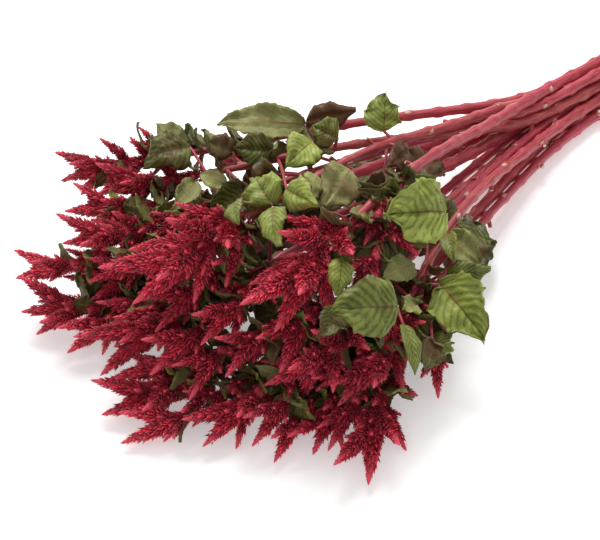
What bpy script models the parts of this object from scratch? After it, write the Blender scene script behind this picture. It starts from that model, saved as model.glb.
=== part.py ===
"""Wheat celosia: a florist's bunch of cut stems with feathery spiked heads, lying on its side.

Metres, +Z up. +X runs along the stems to their cut ends, and the heads fan out towards -X.
The bunch's own plan is written in millimetres and turned into metres when a mesh is made.
"""
import math

import bmesh
import bpy
import numpy as np

MM = 0.001
COLLECTION = "wheat celosia"
LEAF_GREEN = (0.14, 0.17, 0.05)
HEAD_CRIMSON = (0.35, 0.01, 0.03)
BAND_TAN = (0.45, 0.36, 0.22)

# Stems and the rubber band round them
CUT_X = 345.0
TIE_X = 200.0
CUT_STAGGER = (0, 2, 1, 3)
CUT_SPLAY = 1.25
STEM_THICK = 4.1
STEM_THIN = 2.1
STEM_TAPERS = (1.0, 0.55, 1.7, 0.8, 2.2)
STEM_WANDER = 2.6
WANDER_PITCH = (95.0, 150.0)
SHOOT_RADIUS = 1.7
STEM_GAP = 0.6
STEM_TOLERANCE = 0.32
STEM_SIDES = 6
SHOOT_SIDES = 4
TIE_WIDTH = 9.0
TIE_THICKNESS = 2.0
TIE_GAP = 0.35
TIE_FLAT = 0.2
BAND_CORNERS = 20
BUNCH_Y = 40.0
GATHERED_X = 115.0
STATION = 6.0
FORK_BACK = 45.0
FORK_BEFORE_HEAD = 39.0
STRAIGHT_BEFORE_TIE = 25.0
SPREAD_ROUNDS = 260
HOMING_ROUNDS = 220
PUSH_SHARE = 0.35
HOMING_SHARE = 0.02
SMOOTH_SHARE = 0.3

# Flower spikes: radius for each millimetre of length, and how far the florets' tips stand out
SPIKE_FATNESS = 0.165
SPIKE_SCALES = ((48.0, 3), (32.0, 2), (0.0, 1))
SCALES_ROUND = 3
SCALE_VALLEY = 0.68
SCALE_STEP_OUT = 0.055
SCALE_STEP_IN = 0.10
SCALE_LIMIT = 0.96
HEAD_GAP = 0.6

# A head's core is the top of its stem; side spikes root along it and up part of the foremost spike
CORE_STATIONS = 4
CORE_FOOT_FREE = 7.0
CORE_INTO_SPIKE = 0.25
SIDE_SPIKES_FROM = 0.40
TOP_LEAN = 30.0
FOOT_LEAN = 62.0
TOP_SPIKE = 0.86
FOOT_SPIKE = 0.54
GOLDEN_TURN = 2.4
CLEARANCE = 0.5
NEAR = 12.0
ATTEMPTS = 150
STRAY_LEAN = 1.1
STRAY_SHRINK = 0.5

# Leaves
LEAF_THICKNESS = 0.8
LEAF_FOLD = 0.22
LEAF_WAVE = 0.07
LEAF_WAVES = 2.5
LEAF_ARCH = 0.10
LARGE_LEAF = 29.0
LARGE_LEAF_ROWS = 6
MIDDLE_LEAF_ROWS = 4
SMALL_LEAF = 14.5
SMALL_LEAF_ROWS = 3
STALK_HALF = 1.1
STALK_ROOM = 1.4
BLADE_ROOM = 1.7
BLADE_PITCH = 3.0
NEAR_STEM = 0.25
LEAF_SEED = 100
LEAF_ATTEMPTS = 400
STEM_CHOICE = 0.16
LEAF_SHIFT = 16.0
LEAF_SWING = 34.0
LEAF_ROLL = 1.3
LEAF_SHRINK = 0.35
OUTLOOK = np.array([-0.46, -0.53, 0.71])
LOW_LEAF = 24.0
LOW_OUTLOOK = np.array([-0.12, -0.14, 0.98])

# Low leaves in the shade under the bunch, on a grid inside a fan that widens towards the heads
LOW_LEAVES_X = (-150, -102, -54, -6)
LOW_LEAVES_Y = (-47, -9, 29, 67, 105)
LOW_LEAVES_Z = (8, 20)
LOW_LEAF_REACH = (40, 54)
LOW_LEAF_WIDTH = (27, 34)
LOW_LEAF_TURN = 1.0
LOW_LEAF_SHIFT = 8
LOW_LEAF_SEED = 7
FAN_MIDDLE = 25.0
FAN_HALF = 40.0
FAN_SLOPE = 0.36

# The rows of stems at the band, bottom row first, each from +Y to -Y
ROWS = (("e", "k", "n", "q", "s"), ("d", "g", "o", "r"), ("a", "h", "x"), ("t", "b"))

# A stem's name: where its head starts, and the shoulder where it leaves the bundle
STEMS = {
    "a": ((-165, 155, 55), (-30, 72, 72)),
    "b": ((-205, 95, 60), (-60, 60, 60)),
    "d": ((-235, 115, 38), (-75, 62, 46)),
    "e": ((-240, 92, 20), (-65, 45, 28)),
    "g": ((-215, 35, 44), (-65, 20, 52)),
    "h": ((-180, 35, 88), (-50, 44, 80)),
    "k": ((-235, 5, 18), (-65, 12, 28)),
    "n": ((-205, -30, 20), (-20, 10, 28)),
    "o": ((-170, -55, 50), (-35, -10, 46)),
    "q": ((-170, -62, 18), (-65, -25, 28)),
    "r": ((-135, -70, 46), (-30, -14, 54)),
    "s": ((-154, -80, 18), (-40, -25, 26)),
    "t": ((-140, -15, 90), (-35, 10, 82)),
    "x": ((-160, 115, 64), (-55, 58, 74)),
}

# A head's name: its stem, where it starts, its foremost spike's tip and how many spikes it has
HEADS = {
    "a": ("a", (-165, 155, 55), (-194, 180, 42), 10),
    "b": ("b", (-205, 95, 60), (-235, 125, 50), 9),
    "d": ("d", (-235, 115, 38), (-262, 142, 24), 8),
    "e": ("e", (-240, 92, 20), (-268, 130, 12), 8),
    "g": ("g", (-215, 35, 44), (-265, 45, 18), 8),
    "h": ("h", (-180, 35, 88), (-240, 42, 64), 11),
    "k": ("k", (-235, 5, 18), (-280, 27, 8), 8),
    "n": ("n", (-205, -30, 20), (-250, -32, 8), 8),
    "o": ("o", (-170, -55, 50), (-210, -30, 36), 9),
    "q": ("q", (-170, -62, 18), (-206, -82, 6), 8),
    "r": ("r", (-135, -70, 46), (-178, -65, 24), 9),
    "s": ("s", (-154, -80, 18), (-192, -114, 6), 9),
    "t": ("t", (-140, -15, 90), (-195, -32, 66), 11),
    "x": ("x", (-160, 115, 64), (-194, 138, 60), 9),
    "a2": ("a", (-140, 142, 58), (-156, 168, 58), 5),
    "b2": ("b", (-210, 78, 50), (-236, 95, 38), 5),
    "b3": ("b", (-190, 118, 60), (-214, 148, 50), 6),
    "b4": ("b", (-175, 78, 68), (-198, 85, 60), 4),
    "e2": ("e", (-235, 72, 26), (-270, 75, 8), 5),
    "g2": ("g", (-218, 66, 35), (-250, 70, 20), 5),
    "h2": ("h", (-172, 25, 80), (-192, 12, 70), 5),
    "k2": ("k", (-238, -12, 14), (-280, 4, 5), 5),
    "n2": ("n", (-210, 2, 38), (-242, -10, 28), 5),
    "n3": ("n", (-196, -48, 26), (-228, -54, 14), 5),
    "r2": ("r", (-122, -72, 44), (-134, -88, 38), 4),
    "s2": ("s", (-100, -74, 20), (-116, -94, 5), 5),
    "t2": ("t", (-98, -14, 84), (-118, -24, 80), 5),
    "t3": ("t", (-98, -26, 80), (-94, -48, 72), 4),
    "t4": ("t", (-114, -32, 74), (-144, -40, 60), 4),
    "x2": ("x", (-104, 98, 64), (-122, 112, 60), 5),
    "b5": ("b", (-188, 112, 44), (-216, 136, 34), 5),
    "d2": ("d", (-205, 84, 36), (-240, 92, 26), 5),
    "e3": ("e", (-212, 104, 22), (-250, 106, 12), 5),
    "g3": ("g", (-205, 48, 36), (-248, 38, 24), 5),
    "g4": ("g", (-208, 14, 46), (-250, 12, 36), 5),
    "g6": ("g", (-196, 30, 62), (-232, 30, 46), 5),
    "k3": ("k", (-230, 20, 24), (-264, 44, 14), 5),
    "n4": ("n", (-214, -14, 20), (-246, -10, 10), 5),
    "o2": ("o", (-184, -14, 50), (-220, -20, 40), 5),
    "q2": ("q", (-190, -52, 14), (-222, -66, 6), 5),
    "q3": ("q", (-166, -74, 24), (-196, -84, 12), 5),
    "r3": ("r", (-158, -62, 36), (-190, -68, 24), 5),
    "g5": ("g", (-186, 4, 62), (-222, 0, 50), 6),
    "o3": ("o", (-162, -26, 58), (-198, -40, 44), 6),
}

# Leaves: where the blade starts, where its tip is and how wide it is
LEAVES = (
    ((-65, 86, 78), (-110, 121, 84), 21),
    ((-60, 90, 76), (-36, 69, 84), 15),
    ((-26, 53, 72), (-13, 66, 88), 23),
    ((-61, 59, 82), (-70, 73, 88), 18),
    ((-79, 63, 86), (-109, 53, 90), 22),
    ((-134, 123, 74), (-136, 148, 78), 15),
    ((-135, 118, 76), (-165, 122, 78), 27),
    ((-115, 98, 76), (-124, 112, 80), 15),
    ((-97, 81, 78), (-115, 97, 80), 19),
    ((-143, 70, 84), (-151, 86, 86), 10),
    ((-155, 85, 82), (-184, 72, 84), 12),
    ((-175, 43, 86), (-173, 67, 88), 20),
    ((-135, 64, 78), (-170, 62, 80), 25),
    ((-140, 30, 94), (-135, 52, 98), 22),
    ((-130, 36, 94), (-137, -8, 96), 21),
    ((-102, 32, 92), (-123, 19, 94), 14),
    ((-82, 25, 90), (-118, 7, 94), 25),
    ((-144, 25, 96), (-167, -1, 96), 15),
    ((-155, 32, 92), (-180, 22, 90), 15),
    ((-144, -13, 94), (-151, -7, 94), 11),
    ((-128, -11, 86), (-136, -2, 88), 12),
    ((-128, -17, 88), (-131, -38, 90), 13),
    ((-139, -25, 90), (-163, -43, 84), 14),
    ((-61, -37, 86), (-98, -21, 95), 37),
    ((-50, -30, 66), (-47, -11, 74), 17),
    ((-29, 28, 74), (-55, 21, 80), 16),
    ((-89, -42, 66), (-116, -36, 70), 16),
    ((-128, -67, 74), (-165, -51, 84), 32),
    ((-80, -55, 50), (-83, -97, 38), 34),
    ((-52, -33, 58), (-50, -60, 53), 18),
    ((-70, -47, 52), (-42, -64, 50), 13),
    ((-49, -33, 62), (-59, -43, 62), 11),
    ((-110, -73, 42), (-132, -77, 36), 19),
    ((-109, -62, 56), (-124, -61, 56), 12),
    ((-104, -72, 34), (-98, -90, 28), 14),
    ((-148, -36, 58), (-184, -30, 60), 22),
    ((-155, -54, 46), (-170, -70, 42), 10),
    ((-134, -70, 50), (-154, -96, 40), 15),
    ((-128, -8, 66), (-160, -4, 58), 26),
    ((-150, 56, 66), (-182, 62, 60), 22),
    ((-60, 0, 44), (-100, -4, 44), 28),
    ((-90, 40, 50), (-132, 46, 46), 28),
    ((-150, 92, 44), (-184, 104, 36), 28),
    ((-140, 10, 44), (-178, 6, 36), 26),
    ((-100, 116, 66), (-129, 117, 64), 26),
    ((-101, 67, 66), (-134, 63, 66), 28),
    ((-87, 41, 70), (-130, 31, 72), 28),
    ((-11, 24, 58), (-53, 12, 60), 28),
    ((-87, 4, 62), (-123, -4, 60), 26),
    ((-49, 19, 58), (-88, 14, 58), 28),
    ((-46, -8, 46), (-85, -15, 44), 28),
    ((-91, 97, 56), (-126, 92, 54), 28),
    ((-101, 39, 54), (-139, 34, 52), 28),
    ((-26, -23, 44), (-64, -43, 44), 26),
)


def vector(place):
    return np.array(place, dtype=float)


def unit(direction):
    return direction / np.linalg.norm(direction)


def across(direction):
    """Two unit directions at right angles to the given one and to each other."""
    helper = np.array([0.0, 0.0, 1.0]) if abs(direction[2]) < 0.9 else np.array([1.0, 0.0, 0.0])
    side = unit(np.cross(helper, direction))
    return side, np.cross(direction, side)


# The stems' and side shoots' centre lines


def band_slots():
    """Each stem's side place and height where the band holds it."""
    pitch = 2 * STEM_THICK + STEM_GAP
    slots = {}
    for level, row in enumerate(ROWS):
        height = TIE_THICKNESS + TIE_GAP + STEM_THICK + level * pitch * math.sin(math.radians(60))
        for place, name in enumerate(row):
            slots[name] = (BUNCH_Y + ((len(row) - 1) / 2 - place) * pitch, height)
    return slots


def planned_paths():
    """Every stem and shoot as a name, its parent stem and the places that it passes, from +X to -X."""
    slots = band_slots()
    paths = {}
    for index, (name, (head, shoulder)) in enumerate(STEMS.items()):
        side, height = slots[name]
        cut_x = CUT_X - STATION * CUT_STAGGER[index % len(CUT_STAGGER)]
        splayed = BUNCH_Y + (side - BUNCH_Y) * CUT_SPLAY
        way = [(cut_x, splayed, height), (TIE_X + STRAIGHT_BEFORE_TIE, side, height)]
        way += [(GATHERED_X, side, height), shoulder, head]
        paths[name] = (name, [vector(place) for place in way])
    for name, (stem, start, tip, count) in HEADS.items():
        if name in STEMS:
            continue
        fork_x = max(start[0] + FORK_BACK, STEMS[stem][0][0] + FORK_BEFORE_HEAD)
        paths[name] = (stem, [vector((fork_x, 0, 0)), vector(start)])
    return paths


def wander(name, stations, head_x):
    """How far a stem strays sideways and up at each station: nothing at the band and at its head."""
    chance = np.random.default_rng([ord(letter) for letter in "wander " + name])
    share = np.clip((TIE_X - STRAIGHT_BEFORE_TIE - stations) / (TIE_X - STRAIGHT_BEFORE_TIE - head_x), 0, 1)
    pitch = chance.uniform(*WANDER_PITCH, 2)
    start = chance.uniform(0, 2 * np.pi, 2)
    waves = np.sin(2 * np.pi * stations[:, None] / pitch + start)
    return STEM_WANDER * np.sin(np.pi * share)[:, None] * waves


def settled_paths():
    """Moves the paths apart at each station along X until they clear each other and the table.

    Gives for each name its stem, the line and radii of the part in the stem's body, and its head's core.
    """
    paths = planned_paths()
    names = list(paths)
    stations = np.arange(CUT_X, -250.0, -STATION)
    shape = (len(stations), len(names))
    middle = np.zeros(shape + (2,))
    live = np.zeros(shape, dtype=bool)
    in_head = np.zeros(shape, dtype=bool)
    radius = np.zeros(shape)
    for index, name in enumerate(names):
        stem, way = paths[name]
        if name != stem:
            parent = names.index(stem)
            first = np.argmin(np.abs(stations - way[0][0]))
            way[0] = np.array([stations[first], *middle[first, parent]])
        across_x = [place[0] for place in way][::-1]
        for axis in (0, 1):
            values = [place[axis + 1] for place in way][::-1]
            middle[:, index, axis] = np.interp(stations, across_x, values)
        live[:, index] = (stations <= way[0][0] + 0.01) & (stations >= way[-1][0])
        in_head[np.flatnonzero(live[:, index])[-CORE_STATIONS - 1:], index] = True
        along = np.clip((TIE_X - TIE_WIDTH - stations) / (TIE_X - way[-1][0]), 0, 1)
        taper = STEM_TAPERS[index % len(STEM_TAPERS)]
        thick = STEM_THICK + (STEM_THIN - STEM_THICK) * along ** taper
        radius[:, index] = thick if name == stem else SHOOT_RADIUS
        if name == stem:
            middle[:, index] += wander(name, stations, way[-1][0])
    parents = np.array([names.index(paths[name][0]) for name in names])
    apart = (parents[:, None] != parents)[None] | in_head[:, :, None] | in_head[:, None, :]
    apart &= ~np.eye(len(names), dtype=bool)
    home = middle.copy()
    held = stations > TIE_X - STRAIGHT_BEFORE_TIE
    for turn in range(SPREAD_ROUNDS):
        slope = np.gradient(middle, -STATION, axis=0)
        reach = radius * np.sqrt(1 + (slope ** 2).sum(axis=2))
        offset = middle[:, :, None] - middle[:, None, :]
        distance = np.maximum(np.linalg.norm(offset, axis=3), 0.01)
        wanted = reach[:, :, None] + reach[:, None, :] + STEM_GAP
        both = live[:, :, None] & live[:, None, :] & apart
        push = np.where(both, np.clip(wanted - distance, 0, 4), 0)
        shove = (push / distance)[..., None] * offset
        middle += PUSH_SHARE * shove.sum(axis=2)
        middle[:, :, 1] = np.maximum(middle[:, :, 1], reach)
        if turn < HOMING_ROUNDS:
            middle += HOMING_SHARE * (home - middle)
        for index, name in enumerate(names):
            rows = np.flatnonzero(live[:, index])
            line = middle[rows, index]
            line[1:-1] += SMOOTH_SHARE * (line[:-2] + line[2:] - 2 * line[1:-1])
            if index != parents[index]:
                line[0] = middle[rows[0], parents[index]]
            middle[rows, index] = line
        middle[held] = home[held]
    settled = {}
    for index, name in enumerate(names):
        rows = np.flatnonzero(live[:, index])
        line = np.column_stack([stations[rows], middle[rows, index]])
        foot = len(line) - 1 - CORE_STATIONS
        core = line[foot:].copy()
        core[0] += unit(core[1] - core[0]) * HEAD_GAP
        settled[name] = (paths[name][0], line[:foot + 1], radius[rows[:foot + 1], index], core)
    return settled


class Room:
    """Remembers the room already taken, as balls that each belong to one node."""

    def __init__(self):
        self.centres = np.empty((0, 3))
        self.radii = np.empty(0)
        self.nodes = np.empty(0, dtype="U24")

    def take(self, node, centres, radii):
        """Fills room with a node's balls."""
        self.centres = np.vstack([self.centres, centres])
        self.radii = np.concatenate([self.radii, radii])
        self.nodes = np.concatenate([self.nodes, np.full(len(radii), node, dtype="U24")])

    def is_free(self, own, centres, radii):
        """Whether these balls clear the table and all others but those of the node's own names."""
        if (centres[:, 2] < radii).any():
            return False
        low = centres.min(axis=0) - NEAR
        high = centres.max(axis=0) + NEAR
        near = ((self.centres > low) & (self.centres < high)).all(axis=1) & ~np.isin(self.nodes, own)
        if not near.any():
            return True
        offset = centres[:, None] - self.centres[near][None]
        distance = np.linalg.norm(offset, axis=2)
        return (distance > radii[:, None] + self.radii[near][None] + CLEARANCE).all()


def balls_along(line, radii):
    """Balls close together along a line, with their radii."""
    steps = np.linspace(0, len(line) - 1, 3 * len(line))
    whole = np.arange(len(line))
    centres = np.column_stack([np.interp(steps, whole, line[:, axis]) for axis in range(3)])
    return centres, np.interp(steps, whole, radii)


def take_paths(room, settled):
    """Fills the room with balls along every stem and shoot, and along every head's core."""
    for name, (stem, line, radii, core) in settled.items():
        room.take("stem_" + stem, *balls_along(line, radii))
        room.take("core_" + name, *balls_along(core, np.full(len(core), radii[-1])))


# The flower heads


def spike_line(root, tip, bend, share):
    """Places along a spike's gently bent centre line, at shares from 0 to 1."""
    share = np.asarray(share)[:, None]
    return root + (tip - root) * share + bend * (4 * share * (1 - share))


def spike_radius(length, share):
    """A spike's outer radius: full a quarter of the way up, then tapering to a fine tip."""
    share = np.asarray(share)
    swell = np.minimum(1.0, 0.3 + 2.6 * share)
    taper = np.maximum(1 - share, 0.0) ** 0.8
    return SPIKE_FATNESS * length * (swell * taper * 1.18) + 0.4


def leaned(direction, lean, roll):
    side, other = across(direction)
    sideways = math.cos(roll) * side + math.sin(roll) * other
    return math.cos(lean) * direction + math.sin(lean) * sideways


def axis_place(core, foremost, back):
    """A place on a head's axis: back is 0 part way up the foremost spike and 1 just above the core's foot."""
    upper = spike_line(*foremost[:3], np.linspace(SIDE_SPIKES_FROM, 0, 5))
    axis = np.vstack([upper, core[::-1]])
    walked = np.concatenate([[0], np.cumsum(np.linalg.norm(np.diff(axis, axis=0), axis=1))])
    reach = back * (walked[-1] - CORE_FOOT_FREE)
    return np.array([np.interp(reach, walked, axis[:, each]) for each in range(3)])


def add_spike(name, core, tip, back, spikes, room):
    """Adds one spike to a head where there is room: the foremost first, then others leaning out round it."""
    chance = np.random.default_rng([len(spikes)] + [ord(letter) for letter in name])
    length = np.linalg.norm(tip - core[-1])
    axis = (tip - core[-1]) / length
    inner = "head_" + name
    outer = inner + " spikes"
    if spikes:
        root = axis_place(core, spikes[0], back)
        onward = unit((1 - back) * axis + back * unit(core[-1] - core[0]))
        roll = len(spikes) * GOLDEN_TURN + chance.uniform(-0.3, 0.3)
        wanted = leaned(onward, math.radians(TOP_LEAN + (FOOT_LEAN - TOP_LEAN) * back), roll)
        reach = length * (TOP_SPIKE + (FOOT_SPIKE - TOP_SPIKE) * back)
    else:
        root = core[-1]
        wanted = axis
        reach = length
    shares = np.linspace(0.12, 1.0, 9)
    for attempt in range(ATTEMPTS):
        stray = attempt / ATTEMPTS
        direction = leaned(wanted, STRAY_LEAN * stray, attempt * GOLDEN_TURN)
        size = reach * (1 - STRAY_SHRINK * stray)
        bend = np.array([0, 0, 0.05 * size]) * chance.uniform(-0.4, 1.0)
        end = root + direction * size
        centres = spike_line(root, end, bend, shares)
        radii = spike_radius(size, shares)
        own = [inner, "core_" + name]
        roots_free = room.is_free(own + [outer], centres[:4], radii[:4])
        if roots_free and room.is_free(own, centres[4:], radii[4:]):
            room.take(inner, centres[:4], radii[:4])
            room.take(outer, centres[4:], radii[4:])
            spikes.append((root, end, bend, size))
            return


def grown_heads(settled, room):
    """Sets every head's foremost spike, then all their second ones, and so on until each head is full."""
    spikes = {name: [] for name in HEADS}
    order = sorted(HEADS, key=lambda name: -HEADS[name][1][2])
    for rank in range(max(count for stem, start, tip, count in HEADS.values())):
        for name in order:
            stem, start, tip, count = HEADS[name]
            if rank >= count or (rank and not spikes[name]):
                continue
            core = settled[name][3]
            tip = vector(tip) + core[-1] - vector(start)
            add_spike(name, core, tip, rank / max(count - 1, 1), spikes[name], room)
    return spikes


# The leaves


def leaf_places(leaf, u, v):
    """Places on a leaf's middle surface: u is 0 at the stalk and 1 at the tip, v is -1 to 1 across."""
    base, tip, width, face, twist, phase = leaf
    along = tip - base
    length = np.linalg.norm(along)
    along = along / length
    side = unit(np.cross(face, along))
    up = np.cross(along, side)
    u = np.asarray(u)[:, None]
    v = np.asarray(v)[:, None]
    half = 0.5 * width * (u ** 0.6) * ((1 - u) ** 0.85) / 0.373 + STALK_HALF * (1 - 0.5 * u)
    turn = twist * u
    out = np.cos(turn) * side + np.sin(turn) * up
    high = np.cos(turn) * up - np.sin(turn) * side
    wave = LEAF_WAVE * width * v ** 2 * np.sin(2 * np.pi * LEAF_WAVES * u + phase + 0.9 * v)
    lift = wave * np.minimum(1, 4 * u * (1 - u) + 0.2) + LEAF_FOLD * np.abs(v) * half
    arch = LEAF_ARCH * length * 4 * u * (1 - u)
    return base + along * length * u + out * half * v + high * lift + up * arch


def strayed_leaf(base, tip, width, stray, chance):
    """A leaf moved, turned and shrunk at random, the more the greater its stray."""
    shift = chance.uniform(-1, 1, 3) * LEAF_SHIFT * stray
    swing = chance.uniform(-1, 1, 3) * LEAF_SWING * stray
    roll = chance.uniform(-1, 1) * LEAF_ROLL * stray
    size = 1 - LEAF_SHRINK * stray
    along = unit(tip - base)
    outlook = OUTLOOK if base[2] > LOW_LEAF else LOW_OUTLOOK
    face = unit(outlook + 0.25 * chance.uniform(-1, 1, 3))
    face = face * math.cos(roll) + np.cross(along, face) * math.sin(roll)
    blade_tip = base + shift + (tip + swing - base) * size
    return base + shift, blade_tip, width * size, face, chance.uniform(-0.5, 0.5), chance.uniform(0, 6)


def leaf_balls(leaf, root):
    """Balls that fill a leaf: those of its stalk and foot, which may touch its own stem, and those beyond."""
    base, tip, width = leaf[:3]
    rows = int(np.linalg.norm(tip - base) / BLADE_PITCH) + 4
    columns = int(width / BLADE_PITCH) + 3
    u, v = [grid.ravel() for grid in np.meshgrid(np.linspace(0, 1, rows), np.linspace(-1, 1, columns))]
    steps = np.linspace(0, 1, max(4, int(np.linalg.norm(base - root) / STALK_ROOM)))[:, None]
    stalk = root + (base - root) * steps
    blade = leaf_places(leaf, u, v)
    foot = np.vstack([blade[u < NEAR_STEM], stalk])
    foot_radii = np.full(len(foot), BLADE_ROOM)
    foot_radii[-len(stalk):] = STALK_ROOM
    beyond = blade[u >= NEAR_STEM]
    return foot, foot_radii, beyond, np.full(len(beyond), BLADE_ROOM)


def planned_leaves():
    """The listed leaves, then the low ones spread evenly under the bunch, their tips towards the heads."""
    chance = np.random.default_rng(LOW_LEAF_SEED)
    low = []
    for x in LOW_LEAVES_X:
        for y in LOW_LEAVES_Y:
            if abs(y - FAN_MIDDLE) > FAN_HALF - FAN_SLOPE * x:
                continue
            least = (-LOW_LEAF_SHIFT, -LOW_LEAF_SHIFT, LOW_LEAVES_Z[0])
            most = (LOW_LEAF_SHIFT, LOW_LEAF_SHIFT, LOW_LEAVES_Z[1])
            base = vector((x, y, 0)) + chance.uniform(least, most)
            turn = np.pi + chance.uniform(-LOW_LEAF_TURN, LOW_LEAF_TURN)
            tip = base + chance.uniform(*LOW_LEAF_REACH) * vector((math.cos(turn), math.sin(turn), 0.0))
            low.append((base, tip, chance.uniform(*LOW_LEAF_WIDTH)))
    return list(LEAVES) + low


def grown_leaves(settled, room):
    """Sets each leaf on one of the nearest stems, turned a little where it must clear its neighbours."""
    stems = [stem for stem, line, radii, core in settled.values() for place in line]
    places = np.vstack([line for stem, line, radii, core in settled.values()])
    grown = []
    for index, (base, tip, width) in enumerate(planned_leaves()):
        chance = np.random.default_rng(LEAF_SEED + index)
        order = np.argsort(np.linalg.norm(places - vector(base), axis=1))
        for attempt in range(LEAF_ATTEMPTS):
            stray = attempt / LEAF_ATTEMPTS
            leaf = strayed_leaf(vector(base), vector(tip), width, stray, chance)
            pick = order[int(stray * STEM_CHOICE * len(order))]
            node = "stem_" + stems[pick]
            foot, foot_radii, beyond, beyond_radii = leaf_balls(leaf, places[pick])
            if room.is_free([node], foot, foot_radii) and room.is_free([], beyond, beyond_radii):
                room.take(node + " leaves", foot, foot_radii)
                room.take(node + " leaves", beyond, beyond_radii)
                grown.append((stems[pick], places[pick], leaf))
                break
    return grown


# Meshes


def material(name, colour, roughness):
    made = bpy.data.materials.new(name)
    made.use_nodes = True
    shader = made.node_tree.nodes["Principled BSDF"]
    shader.inputs["Base Color"].default_value = (*colour, 1.0)
    shader.inputs["Roughness"].default_value = roughness
    shader.inputs["Metallic"].default_value = 0.0
    return made


def plain_object(name, mesh, looks):
    """A new object in the bunch's collection."""
    made = bpy.data.objects.new(name, mesh)
    bpy.data.collections[COLLECTION].objects.link(made)
    mesh.materials.clear()
    mesh.materials.append(looks)
    return made


def evaluated_copy(source):
    """The source's mesh with its modifiers or curve settings applied, and the source removed."""
    bpy.context.view_layer.update()
    graph = bpy.context.evaluated_depsgraph_get()
    mesh = bpy.data.meshes.new_from_object(source.evaluated_get(graph))
    mesh.transform(source.matrix_world)
    bpy.data.objects.remove(source)
    return mesh


def closed(mesh, merge=0.00001):
    """Welds a mesh's doubled corners, splits its faces into triangles and turns them outwards."""
    shape = bmesh.new()
    shape.from_mesh(mesh)
    bmesh.ops.remove_doubles(shape, verts=shape.verts, dist=merge)
    bmesh.ops.triangulate(shape, faces=shape.faces)
    bmesh.ops.recalc_face_normals(shape, faces=shape.faces)
    shape.to_mesh(mesh)
    shape.free()
    return mesh


def tube(name, places, radii, looks, sides=6):
    """A round rod through the given places, with a radius at each and flat ends."""
    curve = bpy.data.curves.new(name, "CURVE")
    curve.dimensions = "3D"
    curve.bevel_depth = MM
    curve.bevel_resolution = (sides - 4) // 2
    curve.use_fill_caps = True
    line = curve.splines.new("POLY")
    line.points.add(len(places) - 1)
    for point, place, radius in zip(line.points, places, radii):
        point.co = (*(place * MM), 1.0)
        point.radius = radius
    source = bpy.data.objects.new(name, curve)
    bpy.data.collections[COLLECTION].objects.link(source)
    return plain_object(name, closed(evaluated_copy(source)), looks)


def spike(name, root, tip, bend, size, looks):
    """One spike: a tapering cone of staggered scales whose points lean towards its tip."""
    shape = bmesh.new()
    scales = next(scales for least, scales in SPIKE_SCALES if size > least)
    rings = 2 * scales + 1
    around = SCALES_ROUND
    bmesh.ops.create_grid(shape, x_segments=around, y_segments=rings, size=1)
    bmesh.ops.triangulate(shape, faces=shape.faces, quad_method="ALTERNATE")
    side, other = across(unit(tip - root))
    for corner in shape.verts:
        step = round((corner.co.x + 1) / 2 * around)
        ring = round((corner.co.y + 1) / 2 * rings)
        level = (ring + 1) // 2
        share = level / (scales + 1)
        outer = ring % 2 == 1
        radius = float(spike_radius(size, share))
        if ring == 0:
            radius = 0.0
            share = 0.0
        elif ring == rings:
            radius = 0.0
            share = 1.0
        elif outer:
            share = min(share + SCALE_STEP_OUT, SCALE_LIMIT)
        else:
            radius = radius * SCALE_VALLEY
            share = share + SCALE_STEP_IN
        angle = 2 * math.pi * (step + ring / 2) / around
        middle = spike_line(root, tip, bend, [share])[0]
        corner.co = (middle + radius * (math.cos(angle) * side + math.sin(angle) * other)) * MM
    mesh = bpy.data.meshes.new(name)
    shape.to_mesh(mesh)
    shape.free()
    return plain_object(name, closed(mesh), looks)


def leaf_blade(name, root, leaf, looks):
    """One leaf: a waved sheet of triangles alike on both faces, narrowed to a stalk rooted in the stem."""
    base, tip, width, face, twist, phase = leaf
    rows = LARGE_LEAF_ROWS if width > LARGE_LEAF else MIDDLE_LEAF_ROWS
    if width < SMALL_LEAF or base[2] < LOW_LEAF:
        rows = SMALL_LEAF_ROWS
    shape = bmesh.new()
    bmesh.ops.create_grid(shape, x_segments=rows + 1, y_segments=2, size=1)
    bmesh.ops.triangulate(shape, faces=shape.faces)
    row = np.array([round((corner.co.x + 1) / 2 * (rows + 1)) for corner in shape.verts])
    v = np.array([corner.co.y for corner in shape.verts])
    places = leaf_places(leaf, np.maximum(row - 1, 0) / rows, v)
    stalk_side = (places[(row == 1) & (v > 0.5)] - places[(row == 1) & (v < -0.5)]) / 2
    places[row == 0] = root + v[row == 0][:, None] * stalk_side
    for corner, place in zip(shape.verts, places):
        corner.co = place * MM
    mesh = bpy.data.meshes.new(name)
    shape.to_mesh(mesh)
    shape.free()
    sheet = plain_object(name, mesh, looks)
    thicken = sheet.modifiers.new("thickness", "SOLIDIFY")
    thicken.thickness = LEAF_THICKNESS * MM
    thicken.offset = 0
    return plain_object(name, closed(evaluated_copy(sheet)), looks)


def outer_shell(mesh):
    """Keeps a mesh's largest shell, which fills any hollow that joining has sealed and drops loose scraps."""
    shape = bmesh.new()
    shape.from_mesh(mesh)
    left = set(shape.faces)
    shells = []
    while left:
        front = [left.pop()]
        shell = list(front)
        while front:
            face = front.pop()
            beside = {other for edge in face.edges for other in edge.link_faces} & left
            left -= beside
            front.extend(beside)
            shell.extend(beside)
        shells.append(shell)
    shells.sort(key=len)
    spare = [face for shell in shells[:-1] for face in shell]
    bmesh.ops.delete(shape, geom=spare, context="FACES")
    shape.to_mesh(mesh)
    shape.free()
    return mesh


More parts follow.
